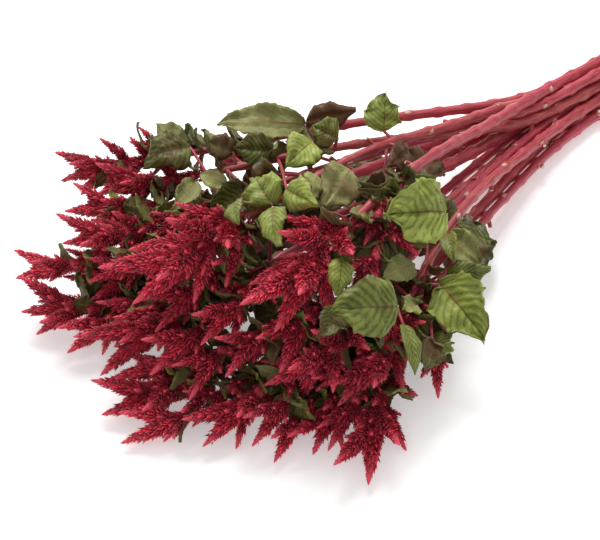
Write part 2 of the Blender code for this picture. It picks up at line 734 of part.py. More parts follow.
def joined(name, pieces, looks):
    """Unites overlapping pieces into one closed body with a Boolean union."""
    body = pieces[0]
    if len(pieces) == 1:
        return plain_object(name, evaluated_copy(body), looks)
    others = bpy.data.collections.new(name + " pieces")
    for piece in pieces[1:]:
        bpy.data.collections[COLLECTION].objects.unlink(piece)
        others.objects.link(piece)
    bpy.context.scene.collection.children.link(others)
    union = body.modifiers.new("union", "BOOLEAN")
    union.operation = "UNION"
    union.operand_type = "COLLECTION"
    union.collection = others
    union.solver = "MANIFOLD"
    mesh = evaluated_copy(body)
    for piece in list(others.objects):
        bpy.data.objects.remove(piece)
    bpy.data.collections.remove(others)
    return plain_object(name, closed(outer_shell(mesh), 0.0000001), looks)


def thinned(line, tolerance=STEM_TOLERANCE):
    """The indices of the places that a line needs to stay within the tolerance of its full course."""
    chord = line[-1] - line[0]
    share = ((line - line[0]) @ chord / (chord @ chord))[:, None]
    off = np.linalg.norm(line - (line[0] + share * chord), axis=1)
    far = int(off.argmax())
    if off[far] < tolerance:
        return [0, len(line) - 1]
    return thinned(line[:far + 1], tolerance)[:-1] + [far + index for index in thinned(line[far:], tolerance)]


def tie(looks):
    """The rubber band: a flat band drawn tight round the packed stems, flat where it lies on the table."""
    centres = np.array(list(band_slots().values()))
    shape = bmesh.new()
    turns = BAND_CORNERS
    bmesh.ops.create_grid(shape, x_segments=turns, y_segments=4, size=1)
    section = ((-1, 0), (1, 0), (1, 1), (-1, 1), (-1, 0))
    for corner in shape.verts:
        angle = math.pi * (corner.co.x + 1) + math.pi / turns
        outward = np.array([math.cos(angle), math.sin(angle)])
        edge, out = section[round((corner.co.y + 1) * 2)]
        held = centres[(centres @ outward).argmax()]
        place = held + outward * (STEM_THICK + TIE_GAP + out * TIE_THICKNESS)
        if place[1] < TIE_FLAT:
            place[1] = 0.0
        corner.co = np.array([TIE_X + edge * TIE_WIDTH / 2, *place]) * MM
    mesh = bpy.data.meshes.new("tie")
    shape.to_mesh(mesh)
    shape.free()
    return plain_object("tie", closed(mesh), looks)


def leafy_stem(name, settled, leaves, looks):
    """One stem with its side shoots and leaves, as one body."""
    pieces = []
    for path, (stem, line, radii, core) in settled.items():
        if stem == name:
            keep = thinned(line)
            sides = STEM_SIDES if path == name else SHOOT_SIDES
            pieces.append(tube("stem part", line[keep], radii[keep], looks, sides))
    for stem, root, leaf in leaves:
        if stem == name:
            pieces.append(leaf_blade("leaf", root, leaf, looks))
    return joined("stem_" + name, pieces, looks)


def head(name, path, spikes, looks):
    """One flower head: its core with all its spikes, as one body."""
    stem, line, radii, core = path
    places = np.vstack([core[thinned(core)], spike_line(*spikes[0][:3], [CORE_INTO_SPIKE])])
    pieces = [tube("core", places, np.full(len(places), radii[-1]), looks, SHOOT_SIDES)]
    pieces += [spike("spike", *each, looks) for each in spikes]
    return joined("head_" + name, pieces, looks)


def main():
    for old in list(bpy.data.objects):
        bpy.data.objects.remove(old)
    group = bpy.data.collections.new(COLLECTION)
    bpy.context.scene.collection.children.link(group)
    settled = settled_paths()
    room = Room()
    take_paths(room, settled)
    spikes = grown_heads(settled, room)
    leaves = grown_leaves(settled, room)
    for name in STEMS:
        leafy_stem(name, settled, leaves, material("stem " + name, LEAF_GREEN, 0.5))
    for name in HEADS:
        head(name, settled[name], spikes[name], material("head " + name, HEAD_CRIMSON, 0.8))
    tie(material("tie", BAND_TAN, 0.6))
    boxes = [np.array(piece.bound_box) for piece in group.objects]
    low = np.min([box.min(axis=0) for box in boxes], axis=0)
    high = np.max([box.max(axis=0) for box in boxes], axis=0)
    for piece in group.objects:
        for corner in piece.data.vertices:
            corner.co.x -= (low[0] + high[0]) / 2
            corner.co.y -= (low[1] + high[1]) / 2


main()
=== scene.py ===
"""Wheat celosia: the visible flowers, leaves and stems of a florist's bunch, and the studio round it.

The bunch's plan is in millimetres, with +X along the stems to their cut ends and the heads towards -X.
Slants and leans are in degrees; turns about an axis, rolls and twists are in radians.
"""

import math

import bmesh
import bpy
import numpy as np
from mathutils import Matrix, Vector


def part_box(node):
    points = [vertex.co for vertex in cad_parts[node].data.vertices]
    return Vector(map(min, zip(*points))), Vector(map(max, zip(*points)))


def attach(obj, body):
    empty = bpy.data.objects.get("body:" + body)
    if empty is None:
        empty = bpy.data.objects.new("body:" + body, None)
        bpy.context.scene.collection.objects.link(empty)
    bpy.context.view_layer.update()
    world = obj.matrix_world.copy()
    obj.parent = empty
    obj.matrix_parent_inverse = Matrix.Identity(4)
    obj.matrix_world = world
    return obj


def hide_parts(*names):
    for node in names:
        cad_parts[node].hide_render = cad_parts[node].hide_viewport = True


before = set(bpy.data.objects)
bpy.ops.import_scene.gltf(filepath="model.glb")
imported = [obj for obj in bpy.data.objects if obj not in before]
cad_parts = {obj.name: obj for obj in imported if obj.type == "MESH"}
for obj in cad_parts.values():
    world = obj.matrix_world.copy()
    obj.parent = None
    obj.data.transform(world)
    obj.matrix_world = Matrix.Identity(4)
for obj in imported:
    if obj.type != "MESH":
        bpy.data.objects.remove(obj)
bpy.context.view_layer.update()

MM = 0.001
UP = np.array([0.0, 0.0, 1.0])

# Stems and the rubber band round them
CUT_X = 345.0
TIE_X = 200.0
HOLLOW_ANGLE = math.radians(60)
CUT_STAGGER = (0, 2, 1, 3)
CUT_SPLAY = 1.25
STEM_THICK = 4.1
STEM_THIN = 2.1
STEM_TAPERS = (1.0, 0.55, 1.7, 0.8, 2.2)
STEM_WANDER = 2.6
WANDER_PITCH = (95.0, 150.0)
SHOOT_RADIUS = 1.7
STEM_GAP = 0.6
TIE_WIDTH = 9.0
TIE_THICKNESS = 2.0
TIE_GAP = 0.35
BUNCH_Y = 40.0
GATHERED_X = 115.0
STATION = 6.0
LAST_STATION = -250.0
FORK_BACK = 45.0
FORK_BEFORE_HEAD = 39.0
STRAIGHT_BEFORE_TIE = 25.0
SPREAD_ROUNDS = 260
HOMING_ROUNDS = 220
PUSH_SHARE = 0.35
HOMING_SHARE = 0.02
SMOOTH_SHARE = 0.3
MOST_PUSH = 4.0
LEAST_DISTANCE = 0.01

# Flower spikes: how radius grows with length, and how it swells and tapers from foot to tip
SPIKE_FATNESS = 0.165
SPIKE_FULLNESS = 1.18
SPIKE_FOOT = 0.3
SPIKE_SWELL = 2.6
SPIKE_TAPER = 0.8
SPIKE_TIP_RADIUS = 0.4
SPIKE_BEND = 0.05
SPIKE_BENDS = (-0.4, 1.0)
SPIKE_BALLS = 9
SPIKE_BALLS_FROM = 0.12
ROOT_BALLS = 4
HEAD_GAP = 0.6

# A head's core is the top of its stem; side spikes root along it and up part of the foremost spike
CORE_STATIONS = 4
CORE_FOOT_FREE = 7.0
SIDE_SPIKES_FROM = 0.40
TOP_LEAN = 30.0
FOOT_LEAN = 62.0
TOP_SPIKE = 0.86
FOOT_SPIKE = 0.54
GOLDEN_TURN = 2.4
TURN_STRAY = 0.3
CLEARANCE = 0.5
NEAR = 12.0
ATTEMPTS = 150
STRAY_TURN = 1.1
STRAY_SHRINK = 0.5

# Leaves: a blade's outline rises and falls with these powers of the share of its length
LEAF_OUTLINE = (0.6, 0.85)
OUTLINE_WIDEST = 0.373
WAVE_SKEW = 0.9
FACE_STRAY = 0.25
LEAF_TWIST = 0.5
PHASES = (0, 6)
LEAF_FOLD = 0.22
LEAF_WAVE = 0.07
LEAF_WAVES = 2.5
LEAF_ARCH = 0.10
STALK_HALF = 1.1
STALK_ROOM = 1.4
BLADE_ROOM = 1.7
BLADE_PITCH = 3.0
NEAR_STEM = 0.25
LEAF_SEED = 100
LEAF_ATTEMPTS = 400
STEM_CHOICE = 0.16
LEAF_SHIFT = 16.0
LEAF_SWING = 34.0
LEAF_ROLL = 1.3
LEAF_SHRINK = 0.35
OUTLOOK = np.array([-0.46, -0.53, 0.71])
LOW_LEAF = 24.0
LOW_OUTLOOK = np.array([-0.12, -0.14, 0.98])

# Low leaves in the shade under the bunch, on a grid inside a fan that widens towards the heads
LOW_LEAVES_X = (-150, -102, -54, -6)
LOW_LEAVES_Y = (-47, -9, 29, 67, 105)
LOW_LEAVES_Z = (8, 20)
LOW_LEAF_REACH = (40, 54)
LOW_LEAF_WIDTH = (27, 34)
LOW_LEAF_TURN = 1.0
LOW_LEAF_SHIFT = 8
LOW_LEAF_SEED = 7
FAN_MIDDLE = 25.0
FAN_HALF = 40.0
FAN_SLOPE = 0.36

# The rows of stems at the band, bottom row first, each from +Y to -Y
ROWS = (("e", "k", "n", "q", "s"), ("d", "g", "o", "r"), ("a", "h", "x"), ("t", "b"))

# A stem's name: where its head starts, and the shoulder where it leaves the bundle
STEMS = {
    "a": ((-165, 155, 55), (-30, 72, 72)),
    "b": ((-205, 95, 60), (-60, 60, 60)),
    "d": ((-235, 115, 38), (-75, 62, 46)),
    "e": ((-240, 92, 20), (-65, 45, 28)),
    "g": ((-215, 35, 44), (-65, 20, 52)),
    "h": ((-180, 35, 88), (-50, 44, 80)),
    "k": ((-235, 5, 18), (-65, 12, 28)),
    "n": ((-205, -30, 20), (-20, 10, 28)),
    "o": ((-170, -55, 50), (-35, -10, 46)),
    "q": ((-170, -62, 18), (-65, -25, 28)),
    "r": ((-135, -70, 46), (-30, -14, 54)),
    "s": ((-154, -80, 18), (-40, -25, 26)),
    "t": ((-140, -15, 90), (-35, 10, 82)),
    "x": ((-160, 115, 64), (-55, 58, 74)),
}

# A head's name begins with its stem's; where it starts, its foremost spike's tip and how many spikes it has
HEADS = {
    "a": ((-165, 155, 55), (-194, 180, 42), 10),
    "b": ((-205, 95, 60), (-235, 125, 50), 9),
    "d": ((-235, 115, 38), (-262, 142, 24), 8),
    "e": ((-240, 92, 20), (-268, 130, 12), 8),
    "g": ((-215, 35, 44), (-265, 45, 18), 8),
    "h": ((-180, 35, 88), (-240, 42, 64), 11),
    "k": ((-235, 5, 18), (-280, 27, 8), 8),
    "n": ((-205, -30, 20), (-250, -32, 8), 8),
    "o": ((-170, -55, 50), (-210, -30, 36), 9),
    "q": ((-170, -62, 18), (-206, -82, 6), 8),
    "r": ((-135, -70, 46), (-178, -65, 24), 9),
    "s": ((-154, -80, 18), (-192, -114, 6), 9),
    "t": ((-140, -15, 90), (-195, -32, 66), 11),
    "x": ((-160, 115, 64), (-194, 138, 60), 9),
    "a2": ((-140, 142, 58), (-156, 168, 58), 5),
    "b2": ((-210, 78, 50), (-236, 95, 38), 5),
    "b3": ((-190, 118, 60), (-214, 148, 50), 6),
    "b4": ((-175, 78, 68), (-198, 85, 60), 4),
    "e2": ((-235, 72, 26), (-270, 75, 8), 5),
    "g2": ((-218, 66, 35), (-250, 70, 20), 5),
    "h2": ((-172, 25, 80), (-192, 12, 70), 5),
    "k2": ((-238, -12, 14), (-280, 4, 5), 5),
    "n2": ((-210, 2, 38), (-242, -10, 28), 5),
    "n3": ((-196, -48, 26), (-228, -54, 14), 5),
    "r2": ((-122, -72, 44), (-134, -88, 38), 4),
    "s2": ((-100, -74, 20), (-116, -94, 5), 5),
    "t2": ((-98, -14, 84), (-118, -24, 80), 5),
    "t3": ((-98, -26, 80), (-94, -48, 72), 4),
    "t4": ((-114, -32, 74), (-144, -40, 60), 4),
    "x2": ((-104, 98, 64), (-122, 112, 60), 5),
    "b5": ((-188, 112, 44), (-216, 136, 34), 5),
    "d2": ((-205, 84, 36), (-240, 92, 26), 5),
    "e3": ((-212, 104, 22), (-250, 106, 12), 5),
    "g3": ((-205, 48, 36), (-248, 38, 24), 5),
    "g4": ((-208, 14, 46), (-250, 12, 36), 5),
    "g6": ((-196, 30, 62), (-232, 30, 46), 5),
    "k3": ((-230, 20, 24), (-264, 44, 14), 5),
    "n4": ((-214, -14, 20), (-246, -10, 10), 5),
    "o2": ((-184, -14, 50), (-220, -20, 40), 5),
    "q2": ((-190, -52, 14), (-222, -66, 6), 5),
    "q3": ((-166, -74, 24), (-196, -84, 12), 5),
    "r3": ((-158, -62, 36), (-190, -68, 24), 5),
    "g5": ((-186, 4, 62), (-222, 0, 50), 6),
    "o3": ((-162, -26, 58), (-198, -40, 44), 6),
}

# Leaves: where the blade starts, where its tip is, how wide it is, how light its green is (low also as
# painted shade for leaves that lie in shade), how brown it is from ripeness and painted shade, and whether
# its underside is up
LEAVES = (
    ((-65, 86, 78), (-110, 121, 84), 21, 0.6, 0.3, True),
    ((-60, 90, 76), (-36, 69, 84), 15, 0.05, 0.8, False),
    ((-26, 53, 72), (-13, 66, 88), 23, 0.7, 0.25, False),
    ((-61, 59, 82), (-70, 73, 88), 18, 0.5, 0.4, False),
    ((-79, 63, 86), (-109, 53, 90), 22, 0.9, 0.05, False),
    ((-134, 123, 74), (-136, 148, 78), 15, 0.45, 0.35, True),
    ((-135, 118, 76), (-165, 122, 78), 27, 0.15, 0.4, False),
    ((-115, 98, 76), (-124, 112, 80), 15, 0.1, 0.5, False),
    ((-97, 81, 78), (-115, 97, 80), 19, 0.15, 0.5, False),
    ((-143, 70, 84), (-151, 86, 86), 10, 0.95, 0.1, True),
    ((-155, 85, 82), (-184, 72, 84), 12, 0.5, 0.1, True),
    ((-175, 43, 86), (-173, 67, 88), 20, 0.5, 0.1, False),
    ((-135, 64, 78), (-170, 62, 80), 25, 0.05, 0.4, False),
    ((-140, 30, 94), (-135, 52, 98), 22, 0.7, 0.0, False),
    ((-130, 36, 94), (-137, -8, 96), 21, 0.8, 0.0, False),
    ((-102, 32, 92), (-123, 19, 94), 14, 0.9, 0.1, True),
    ((-82, 25, 90), (-118, 7, 94), 25, 0.6, 0.35, True),
    ((-144, 25, 96), (-167, -1, 96), 15, 0.6, 0.0, False),
    ((-155, 32, 92), (-180, 22, 90), 15, 0.5, 0.0, False),
    ((-144, -13, 94), (-151, -7, 94), 11, 0.75, 0.5, False),
    ((-128, -11, 86), (-136, -2, 88), 12, 0.2, 0.2, False),
    ((-128, -17, 88), (-131, -38, 90), 13, 0.35, 0.2, False),
    ((-139, -25, 90), (-163, -43, 84), 14, 0.75, 0.1, False),
    ((-61, -37, 86), (-98, -21, 95), 37, 0.85, 0.05, False),
    ((-50, -30, 66), (-47, -11, 74), 17, 0.1, 0.65, False),
    ((-29, 28, 74), (-55, 21, 80), 16, 0.1, 0.85, False),
    ((-89, -42, 66), (-116, -36, 70), 16, 0.55, 0.1, True),
    ((-128, -67, 74), (-165, -51, 84), 32, 0.4, 0.15, False),
    ((-80, -55, 50), (-83, -97, 38), 34, 0.8, 0.1, False),
    ((-52, -33, 58), (-50, -60, 53), 18, 0.75, 0.15, True),
    ((-70, -47, 52), (-42, -64, 50), 13, 0.35, 0.2, False),
    ((-49, -33, 62), (-59, -43, 62), 11, 0.6, 0.5, False),
    ((-110, -73, 42), (-132, -77, 36), 19, 0.05, 0.5, True),
    ((-109, -62, 56), (-124, -61, 56), 12, 0.9, 0.1, True),
    ((-104, -72, 34), (-98, -90, 28), 14, 0.45, 0.15, False),
    ((-148, -36, 58), (-184, -30, 60), 22, 0.1, 0.4, False),
    ((-155, -54, 46), (-170, -70, 42), 10, 0.8, 0.5, False),
    ((-134, -70, 50), (-154, -96, 40), 15, 0.4, 0.2, False),
    ((-128, -8, 66), (-160, -4, 58), 26, 0.1, 0.35, False),
    ((-150, 56, 66), (-182, 62, 60), 22, 0.1, 0.5, False),
    ((-60, 0, 44), (-100, -4, 44), 28, 0.2, 0.3, False),
    ((-90, 40, 50), (-132, 46, 46), 28, 0.05, 0.55, False),
    ((-150, 92, 44), (-184, 104, 36), 28, 0.1, 0.5, False),
    ((-140, 10, 44), (-178, 6, 36), 26, 0.05, 0.5, False),
    ((-100, 116, 66), (-129, 117, 64), 26, 0.2, 0.4, False),
    ((-101, 67, 66), (-134, 63, 66), 28, 0.05, 0.65, False),
    ((-87, 41, 70), (-130, 31, 72), 28, 0.15, 0.35, False),
    ((-11, 24, 58), (-53, 12, 60), 28, 0.2, 0.55, False),
    ((-87, 4, 62), (-123, -4, 60), 26, 0.05, 0.5, False),
    ((-49, 19, 58), (-88, 14, 58), 28, 0.15, 0.6, False),
    ((-46, -8, 46), (-85, -15, 44), 28, 0.1, 0.35, False),
    ((-91, 97, 56), (-126, 92, 54), 28, 0.1, 0.65, False),
    ((-101, 39, 54), (-139, 34, 52), 28, 0.05, 0.4, False),
    ((-26, -23, 44), (-64, -43, 44), 26, 0.2, 0.45, False),
)

# Camera, in degrees and millimetres
CAMERA_TURN = -41.0
CAMERA_RISE = 45.0
CAMERA_AIM = np.array([-122.0, 25.0, 30.0])
CAMERA_DISTANCE = 1000.0
CAMERA_SENSOR = 36.0
CAMERA_LENS = 96.0

# The studio in metres; a light's name: its place, its aim, its size across and its power
LIGHTS = {
    "high soft light": ((0.35, 0.75, 1.25), (-0.05, 0.0, 0.0), 0.9, 22.0),
    "left fill": ((-1.3, -0.5, 0.7), (-0.1, 0.0, 0.05), 1.0, 1.0),
}
ROOM_LIGHT = 0.54
# The table glows a little: painted light that lifts the shadows on the floor
TABLE_PAINTED_GLOW = 0.36
TABLE_HALF = 3.0
TABLE_DROP = 0.0003

# Colours, most in pairs that are mixed, dark and light
WHITE = (1.0, 1.0, 1.0, 1.0)
TABLE_WHITES = ((0.90, 0.90, 0.895), (0.93, 0.93, 0.925))
# A floret's dark foot is painted shade deep in the spike; its pink tip is partly its own paler colour and
# partly a painted highlight
FLORET_BODY_AND_DEPTH_SHADE = ((0.10, 0.002, 0.008), (0.53, 0.006, 0.032))
FLORET_TIP_AND_HIGHLIGHT = ((0.72, 0.04, 0.085), (0.94, 0.21, 0.27))
FLORET_SHEEN = (1.0, 0.35, 0.45, 1.0)
# The core's near-black maroon is painted shade between the florets
CORE_MAROON_AND_SHADE = ((0.05, 0.001, 0.004), (0.20, 0.003, 0.015))
BUD_PINK = ((0.60, 0.025, 0.06), (0.88, 0.15, 0.20))
STEM_DEEP = ((0.30, 0.028, 0.032), (0.38, 0.010, 0.042))
STEM_PALE = ((0.56, 0.11, 0.11), (0.70, 0.07, 0.14))
STEM_PATCH = (0.60, 0.26, 0.22)
STEM_YOUNG = (0.28, 0.05, 0.04)
STEM_PITH = (0.62, 0.60, 0.42)
SCAR_CORK = ((0.46, 0.20, 0.15), (0.80, 0.62, 0.46))
BAND_TAN = ((0.42, 0.27, 0.13), (0.60, 0.42, 0.22))
# Brown that stands for ripeness and for painted shade on leaves that lie in shade
LEAF_RIPE_AND_SHADE = (0.10, 0.042, 0.012)
LEAF_RIB = (0.24, 0.05, 0.03)

# A leaf's upper and lower side: dark and light green, veins (on the upper side dark, painted shade in their
# grooves), edge, roughness and how strongly veins show
LEAF_FACE = ((0.036, 0.04, 0.003), (0.37, 0.425, 0.085), (0.05, 0.075, 0.008), (0.08, 0.02, 0.01), 0.42, 0.42)
LEAF_BACK = ((0.085, 0.08, 0.015), (0.36, 0.38, 0.13), (0.46, 0.36, 0.18), (0.12, 0.02, 0.02), 0.6, 0.45)

# Florets: a spike's core is a share of its radius, and its florets stand some millimetres apart
CORE_AROUND = 6
ROD_STATIONS = 9
CORE_SHARE = 0.55
CORE_CLOSING = 3.0
FLORET_SPACING = 1.28
FLORET_LEAST = (2.2, 1.1)
FLORET_MOST = 4.6
FLORETS_TO = 0.93
FLORET_WIDTH = 0.46
FLORET_STRAY = 13.0
FLORET_JITTER = 0.22
FLORET_SIZES = (0.8, 1.35)
LEAST_FLORETS = 12
BLUSHES = (0.1, 0.9)
SPIKE_SLANT = (58.0, 14.0)
SLEEVE_SLANT = (58.0, 40.0)
SLEEVE_FULLNESS = 2.2
SMALL_SPIKES = 3
SMALL_SPIKE = 0.36
SMALL_SPIKE_SHRINK = 0.04
SMALL_SPIKE_FULLNESS = 1.25
SMALL_SPIKE_FROM = 0.10
SMALL_SPIKE_PITCH = 0.09
SMALL_SPIKE_LEAN = 44.0

# The visible leaves' veins, teeth, waves and curls, and the young and hanging leaves
VEINS = 8.0
VEIN_SWEEP = 0.36
VEIN_CURVE = 1.25
VEIN_STRAY = 0.5
LEAF_ROWS = (10, 52)
LEAF_ROW_PITCH = 1.15
LEAF_COLUMNS = (6, 26)
LEAF_COLUMN_PITCH = 1.8
LEAF_QUILT = 0.06
MIDRIB_DEPTH = 0.35
MIDRIB_HALF = 0.09
LEAF_TEETH = 0.06
LEAF_POINT = 0.5
POINT_FROM = 0.6
LEAF_RUFFLE = 0.035
RUFFLES = 7
LEAF_CURL = 0.32
CURL_FROM = 0.35
LEAF_CRUMPLE = 0.045
LEAF_DROOP = 0.28
DROOP_FROM = 0.45
TINY = 1e-9
# Low leaves under the bunch are dark and brown: painted shade
LOW_LEAF_LOOK = (0.1, 0.45, False)
HEAD_LEAVES = 6
SHOOT_LEAVES = 6
SHOOT_STATIONS = 13
YOUNG_LEAN = (35.0, 75.0)
YOUNG_REACH = (14.0, 28.0)
YOUNG_WIDTH = (0.36, 0.5)
YOUNG_ROLL = 0.4
YOUNG_TWIST = 0.6
YOUNG_FACE_STRAY = 0.3
# Young leaves among the heads are darker and browner, partly painted shade
YOUNG_LIGHT = (0.0, 0.5)
YOUNG_RIPE_AND_SHADE = (0.1, 0.6)
HANGING_BELOW = 50.0
HANGING_REACH = 26.0
HANGING_WIDTH = 22.0
HANGING_TIP = 7.0
HANGING_SWING = 0.7
HANGING_TWIST = 0.3
# Hanging leaves are dark and brown: painted shade under the low heads
HANGING_LOOK = (0.05, 0.5, False)
BLADE_THICKNESS = 0.5

# The visible stems and rubber band
ROD_SIDES = 12
STEM_RIDGES = 5.0
RIDGE_DEPTH = 0.045
SMOOTH_STEP = 2.5
LEAFSTALK_RADII = (1.15, 0.9)
LEAFSTALK_STATIONS = 9
LEAFSTALK_BOW = 0.06
LEAFSTALK_YOUTH = 0.4
SHOOT_YOUTH = 0.6
SCARS_FROM = (8, 30)
SCARS_END = 20
SCAR_STRAY = 5
SCAR_SUNK = 0.93
SCAR_JITTER = 0.2
SCAR_SEED = 3
SCAR_PITCH = 25.0
SCAR_OVAL = 1.7
SCAR_WIDTH = 2.6
SCAR_HEIGHTS = (0.6, 1.0)
NODE_SWELL = 0.28
NODE_HALF = 3.0
STUB_EVERY = 3
STUB_REACH = (3.0, 5.5)
STUB_RADII = np.array([1.7, 1.6, 1.4, 1.25])
STUB_LOWEST = 2.0
STUB_YOUTH = 0.2
STUB_TILT = 0.7
STUB_SUNK = 0.3
BAND_TURNS = 4
BAND_RADIUS = 1.0
BAND_PITCH = 2.1
BAND_STATIONS = 96


def chance_for(words):
    """A source of random draws whose seed is spelled by words."""
    return np.random.default_rng([ord(letter) for letter in words])


def vector(place):
    return np.array(place, dtype=float)


def unit(direction):
    return direction / np.linalg.norm(direction)


def all_unit(directions):
    return directions / np.linalg.norm(directions, axis=1)[:, None]


def walked_along(line):
    """How far along a line each of its places lies."""
    return np.concatenate([[0], np.cumsum(np.linalg.norm(np.diff(line, axis=0), axis=1))])


def places_at(at, marks, line):
    """Places along a line whose own places lie at the given marks."""
    return np.column_stack([np.interp(at, marks, line[:, axis]) for axis in range(3)])


def around(turns, side, other):
    """Directions at these turns about an axis, from two directions across it."""
    return np.cos(turns)[:, None] * side + np.sin(turns)[:, None] * other


def across(direction):
    """Two unit directions at right angles to the given one and to each other."""
    helper = UP if abs(direction[2]) < 0.9 else np.array([1.0, 0.0, 0.0])
    side = unit(np.cross(helper, direction))
    return side, np.cross(direction, side)


# The stems' and side shoots' centre lines


def band_slots():
    """Each stem's side place and height where the band holds it."""
    pitch = 2 * STEM_THICK + STEM_GAP
    slots = {}
    for level, row in enumerate(ROWS):
        height = TIE_THICKNESS + TIE_GAP + STEM_THICK + level * pitch * math.sin(HOLLOW_ANGLE)
        for place, name in enumerate(row):
            slots[name] = (BUNCH_Y + ((len(row) - 1) / 2 - place) * pitch, height)
    return slots


def planned_paths():
    """Every stem and shoot as a name, its parent stem and the places that it passes, from +X to -X."""
    slots = band_slots()
    paths = {}
    for index, (name, (head, shoulder)) in enumerate(STEMS.items()):
        side, height = slots[name]
        cut_x = CUT_X - STATION * CUT_STAGGER[index % len(CUT_STAGGER)]
        splayed = BUNCH_Y + (side - BUNCH_Y) * CUT_SPLAY
        way = [(cut_x, splayed, height), (TIE_X + STRAIGHT_BEFORE_TIE, side, height)]
        way += [(GATHERED_X, side, height), shoulder, head]
        paths[name] = (name, [vector(place) for place in way])
    for name, (start, tip, count) in HEADS.items():
        if name in STEMS:
            continue
        stem = name[0]
        fork_x = max(start[0] + FORK_BACK, STEMS[stem][0][0] + FORK_BEFORE_HEAD)
        paths[name] = (stem, [vector((fork_x, 0, 0)), vector(start)])
    return paths


def wander(name, stations, head_x):
    """How far a stem strays sideways and up at each station: nothing at the band and at its head."""
    chance = chance_for("wander " + name)
    start_x = TIE_X - STRAIGHT_BEFORE_TIE
    share = np.clip((start_x - stations) / (start_x - head_x), 0, 1)
    pitch = chance.uniform(*WANDER_PITCH, 2)
    start = chance.uniform(0, 2 * np.pi, 2)
    waves = np.sin(2 * np.pi * stations[:, None] / pitch + start)
    return STEM_WANDER * np.sin(np.pi * share)[:, None] * waves


def laid_paths(paths, stations):
    """Every path at each station: its place, whether it is there, whether that is in its head, its radius."""
    names = list(paths)
    shape = (len(stations), len(names))
    middle = np.zeros(shape + (2,))
    live = np.zeros(shape, dtype=bool)
    in_head = np.zeros(shape, dtype=bool)
    radius = np.zeros(shape)
    for index, name in enumerate(names):
        stem, way = paths[name]
        if name != stem:
            parent = names.index(stem)
            first = np.argmin(np.abs(stations - way[0][0]))
            way[0] = np.array([stations[first], *middle[first, parent]])
        across_x = [place[0] for place in way][::-1]
        for axis in (0, 1):
            values = [place[axis + 1] for place in way][::-1]
            middle[:, index, axis] = np.interp(stations, across_x, values)
        live[:, index] = (stations <= way[0][0] + LEAST_DISTANCE) & (stations >= way[-1][0])
        in_head[np.flatnonzero(live[:, index])[-CORE_STATIONS - 1:], index] = True
        along = np.clip((TIE_X - TIE_WIDTH - stations) / (TIE_X - way[-1][0]), 0, 1)
        taper = STEM_TAPERS[index % len(STEM_TAPERS)]
        thick = STEM_THICK + (STEM_THIN - STEM_THICK) * along ** taper
        radius[:, index] = thick if name == stem else SHOOT_RADIUS
        if name == stem:
            middle[:, index] += wander(name, stations, way[-1][0])
    return middle, live, in_head, radius


def spread_apart(middle, live, apart, radius, parents, held):
    """Moves the paths apart at each station along X until they clear each other and the table."""
    home = middle.copy()
    for turn in range(SPREAD_ROUNDS):
        slope = np.gradient(middle, -STATION, axis=0)
        reach = radius * np.sqrt(1 + (slope ** 2).sum(axis=2))
        offset = middle[:, :, None] - middle[:, None, :]
        distance = np.maximum(np.linalg.norm(offset, axis=3), LEAST_DISTANCE)
        wanted = reach[:, :, None] + reach[:, None, :] + STEM_GAP
        both = live[:, :, None] & live[:, None, :] & apart
        push = np.where(both, np.clip(wanted - distance, 0, MOST_PUSH), 0)
        shove = (push / distance)[..., None] * offset
        middle += PUSH_SHARE * shove.sum(axis=2)
        middle[:, :, 1] = np.maximum(middle[:, :, 1], reach)
        if turn < HOMING_ROUNDS:
            middle += HOMING_SHARE * (home - middle)
        for index, parent in enumerate(parents):
            rows = np.flatnonzero(live[:, index])
            line = middle[rows, index]
            line[1:-1] += SMOOTH_SHARE * (line[:-2] + line[2:] - 2 * line[1:-1])
            if index != parent:
                line[0] = middle[rows[0], parent]
            middle[rows, index] = line
        middle[held] = home[held]


def settled_paths():
    """Each name's stem, the line and radii of its part in the stem's body, and its head's core."""
    paths = planned_paths()
    names = list(paths)
    stations = np.arange(CUT_X, LAST_STATION, -STATION)
    middle, live, in_head, radius = laid_paths(paths, stations)
    parents = np.array([names.index(paths[name][0]) for name in names])
    apart = (parents[:, None] != parents)[None] | in_head[:, :, None] | in_head[:, None, :]
    apart &= ~np.eye(len(names), dtype=bool)
    spread_apart(middle, live, apart, radius, parents, stations > TIE_X - STRAIGHT_BEFORE_TIE)
    settled = {}
    for index, name in enumerate(names):
        rows = np.flatnonzero(live[:, index])
        line = np.column_stack([stations[rows], middle[rows, index]])
        foot = len(line) - 1 - CORE_STATIONS
        core = line[foot:].copy()
        core[0] += unit(core[1] - core[0]) * HEAD_GAP
        settled[name] = (paths[name][0], line[:foot + 1], radius[rows[:foot + 1], index], core)
    return settled


class Room:
    """Remembers the room already taken, as balls that each belong to one node."""

    def __init__(self):
        self.centres = np.empty((0, 3))
        self.radii = np.empty(0)
        self.nodes = np.empty(0, dtype="U24")

    def take(self, node, centres, radii):
        """Takes the room of a node's balls."""
        self.centres = np.vstack([self.centres, centres])
        self.radii = np.concatenate([self.radii, radii])
        self.nodes = np.concatenate([self.nodes, np.full(len(radii), node, dtype="U24")])

    def is_free(self, own, centres, radii):
        """Whether these balls clear the table and all others but those of the node's own names."""
        if (centres[:, 2] < radii).any():
            return False
        low = centres.min(axis=0) - NEAR
        high = centres.max(axis=0) + NEAR
        near = ((self.centres > low) & (self.centres < high)).all(axis=1) & ~np.isin(self.nodes, own)
        if not near.any():
            return True
        offset = centres[:, None] - self.centres[near][None]
        distance = np.linalg.norm(offset, axis=2)
        return (distance > radii[:, None] + self.radii[near][None] + CLEARANCE).all()


def balls_along(line, radii):
    """Balls close together along a line, with their radii."""
    steps = np.linspace(0, len(line) - 1, 3 * len(line))
    whole = np.arange(len(line))
    return places_at(steps, whole, line), np.interp(steps, whole, radii)


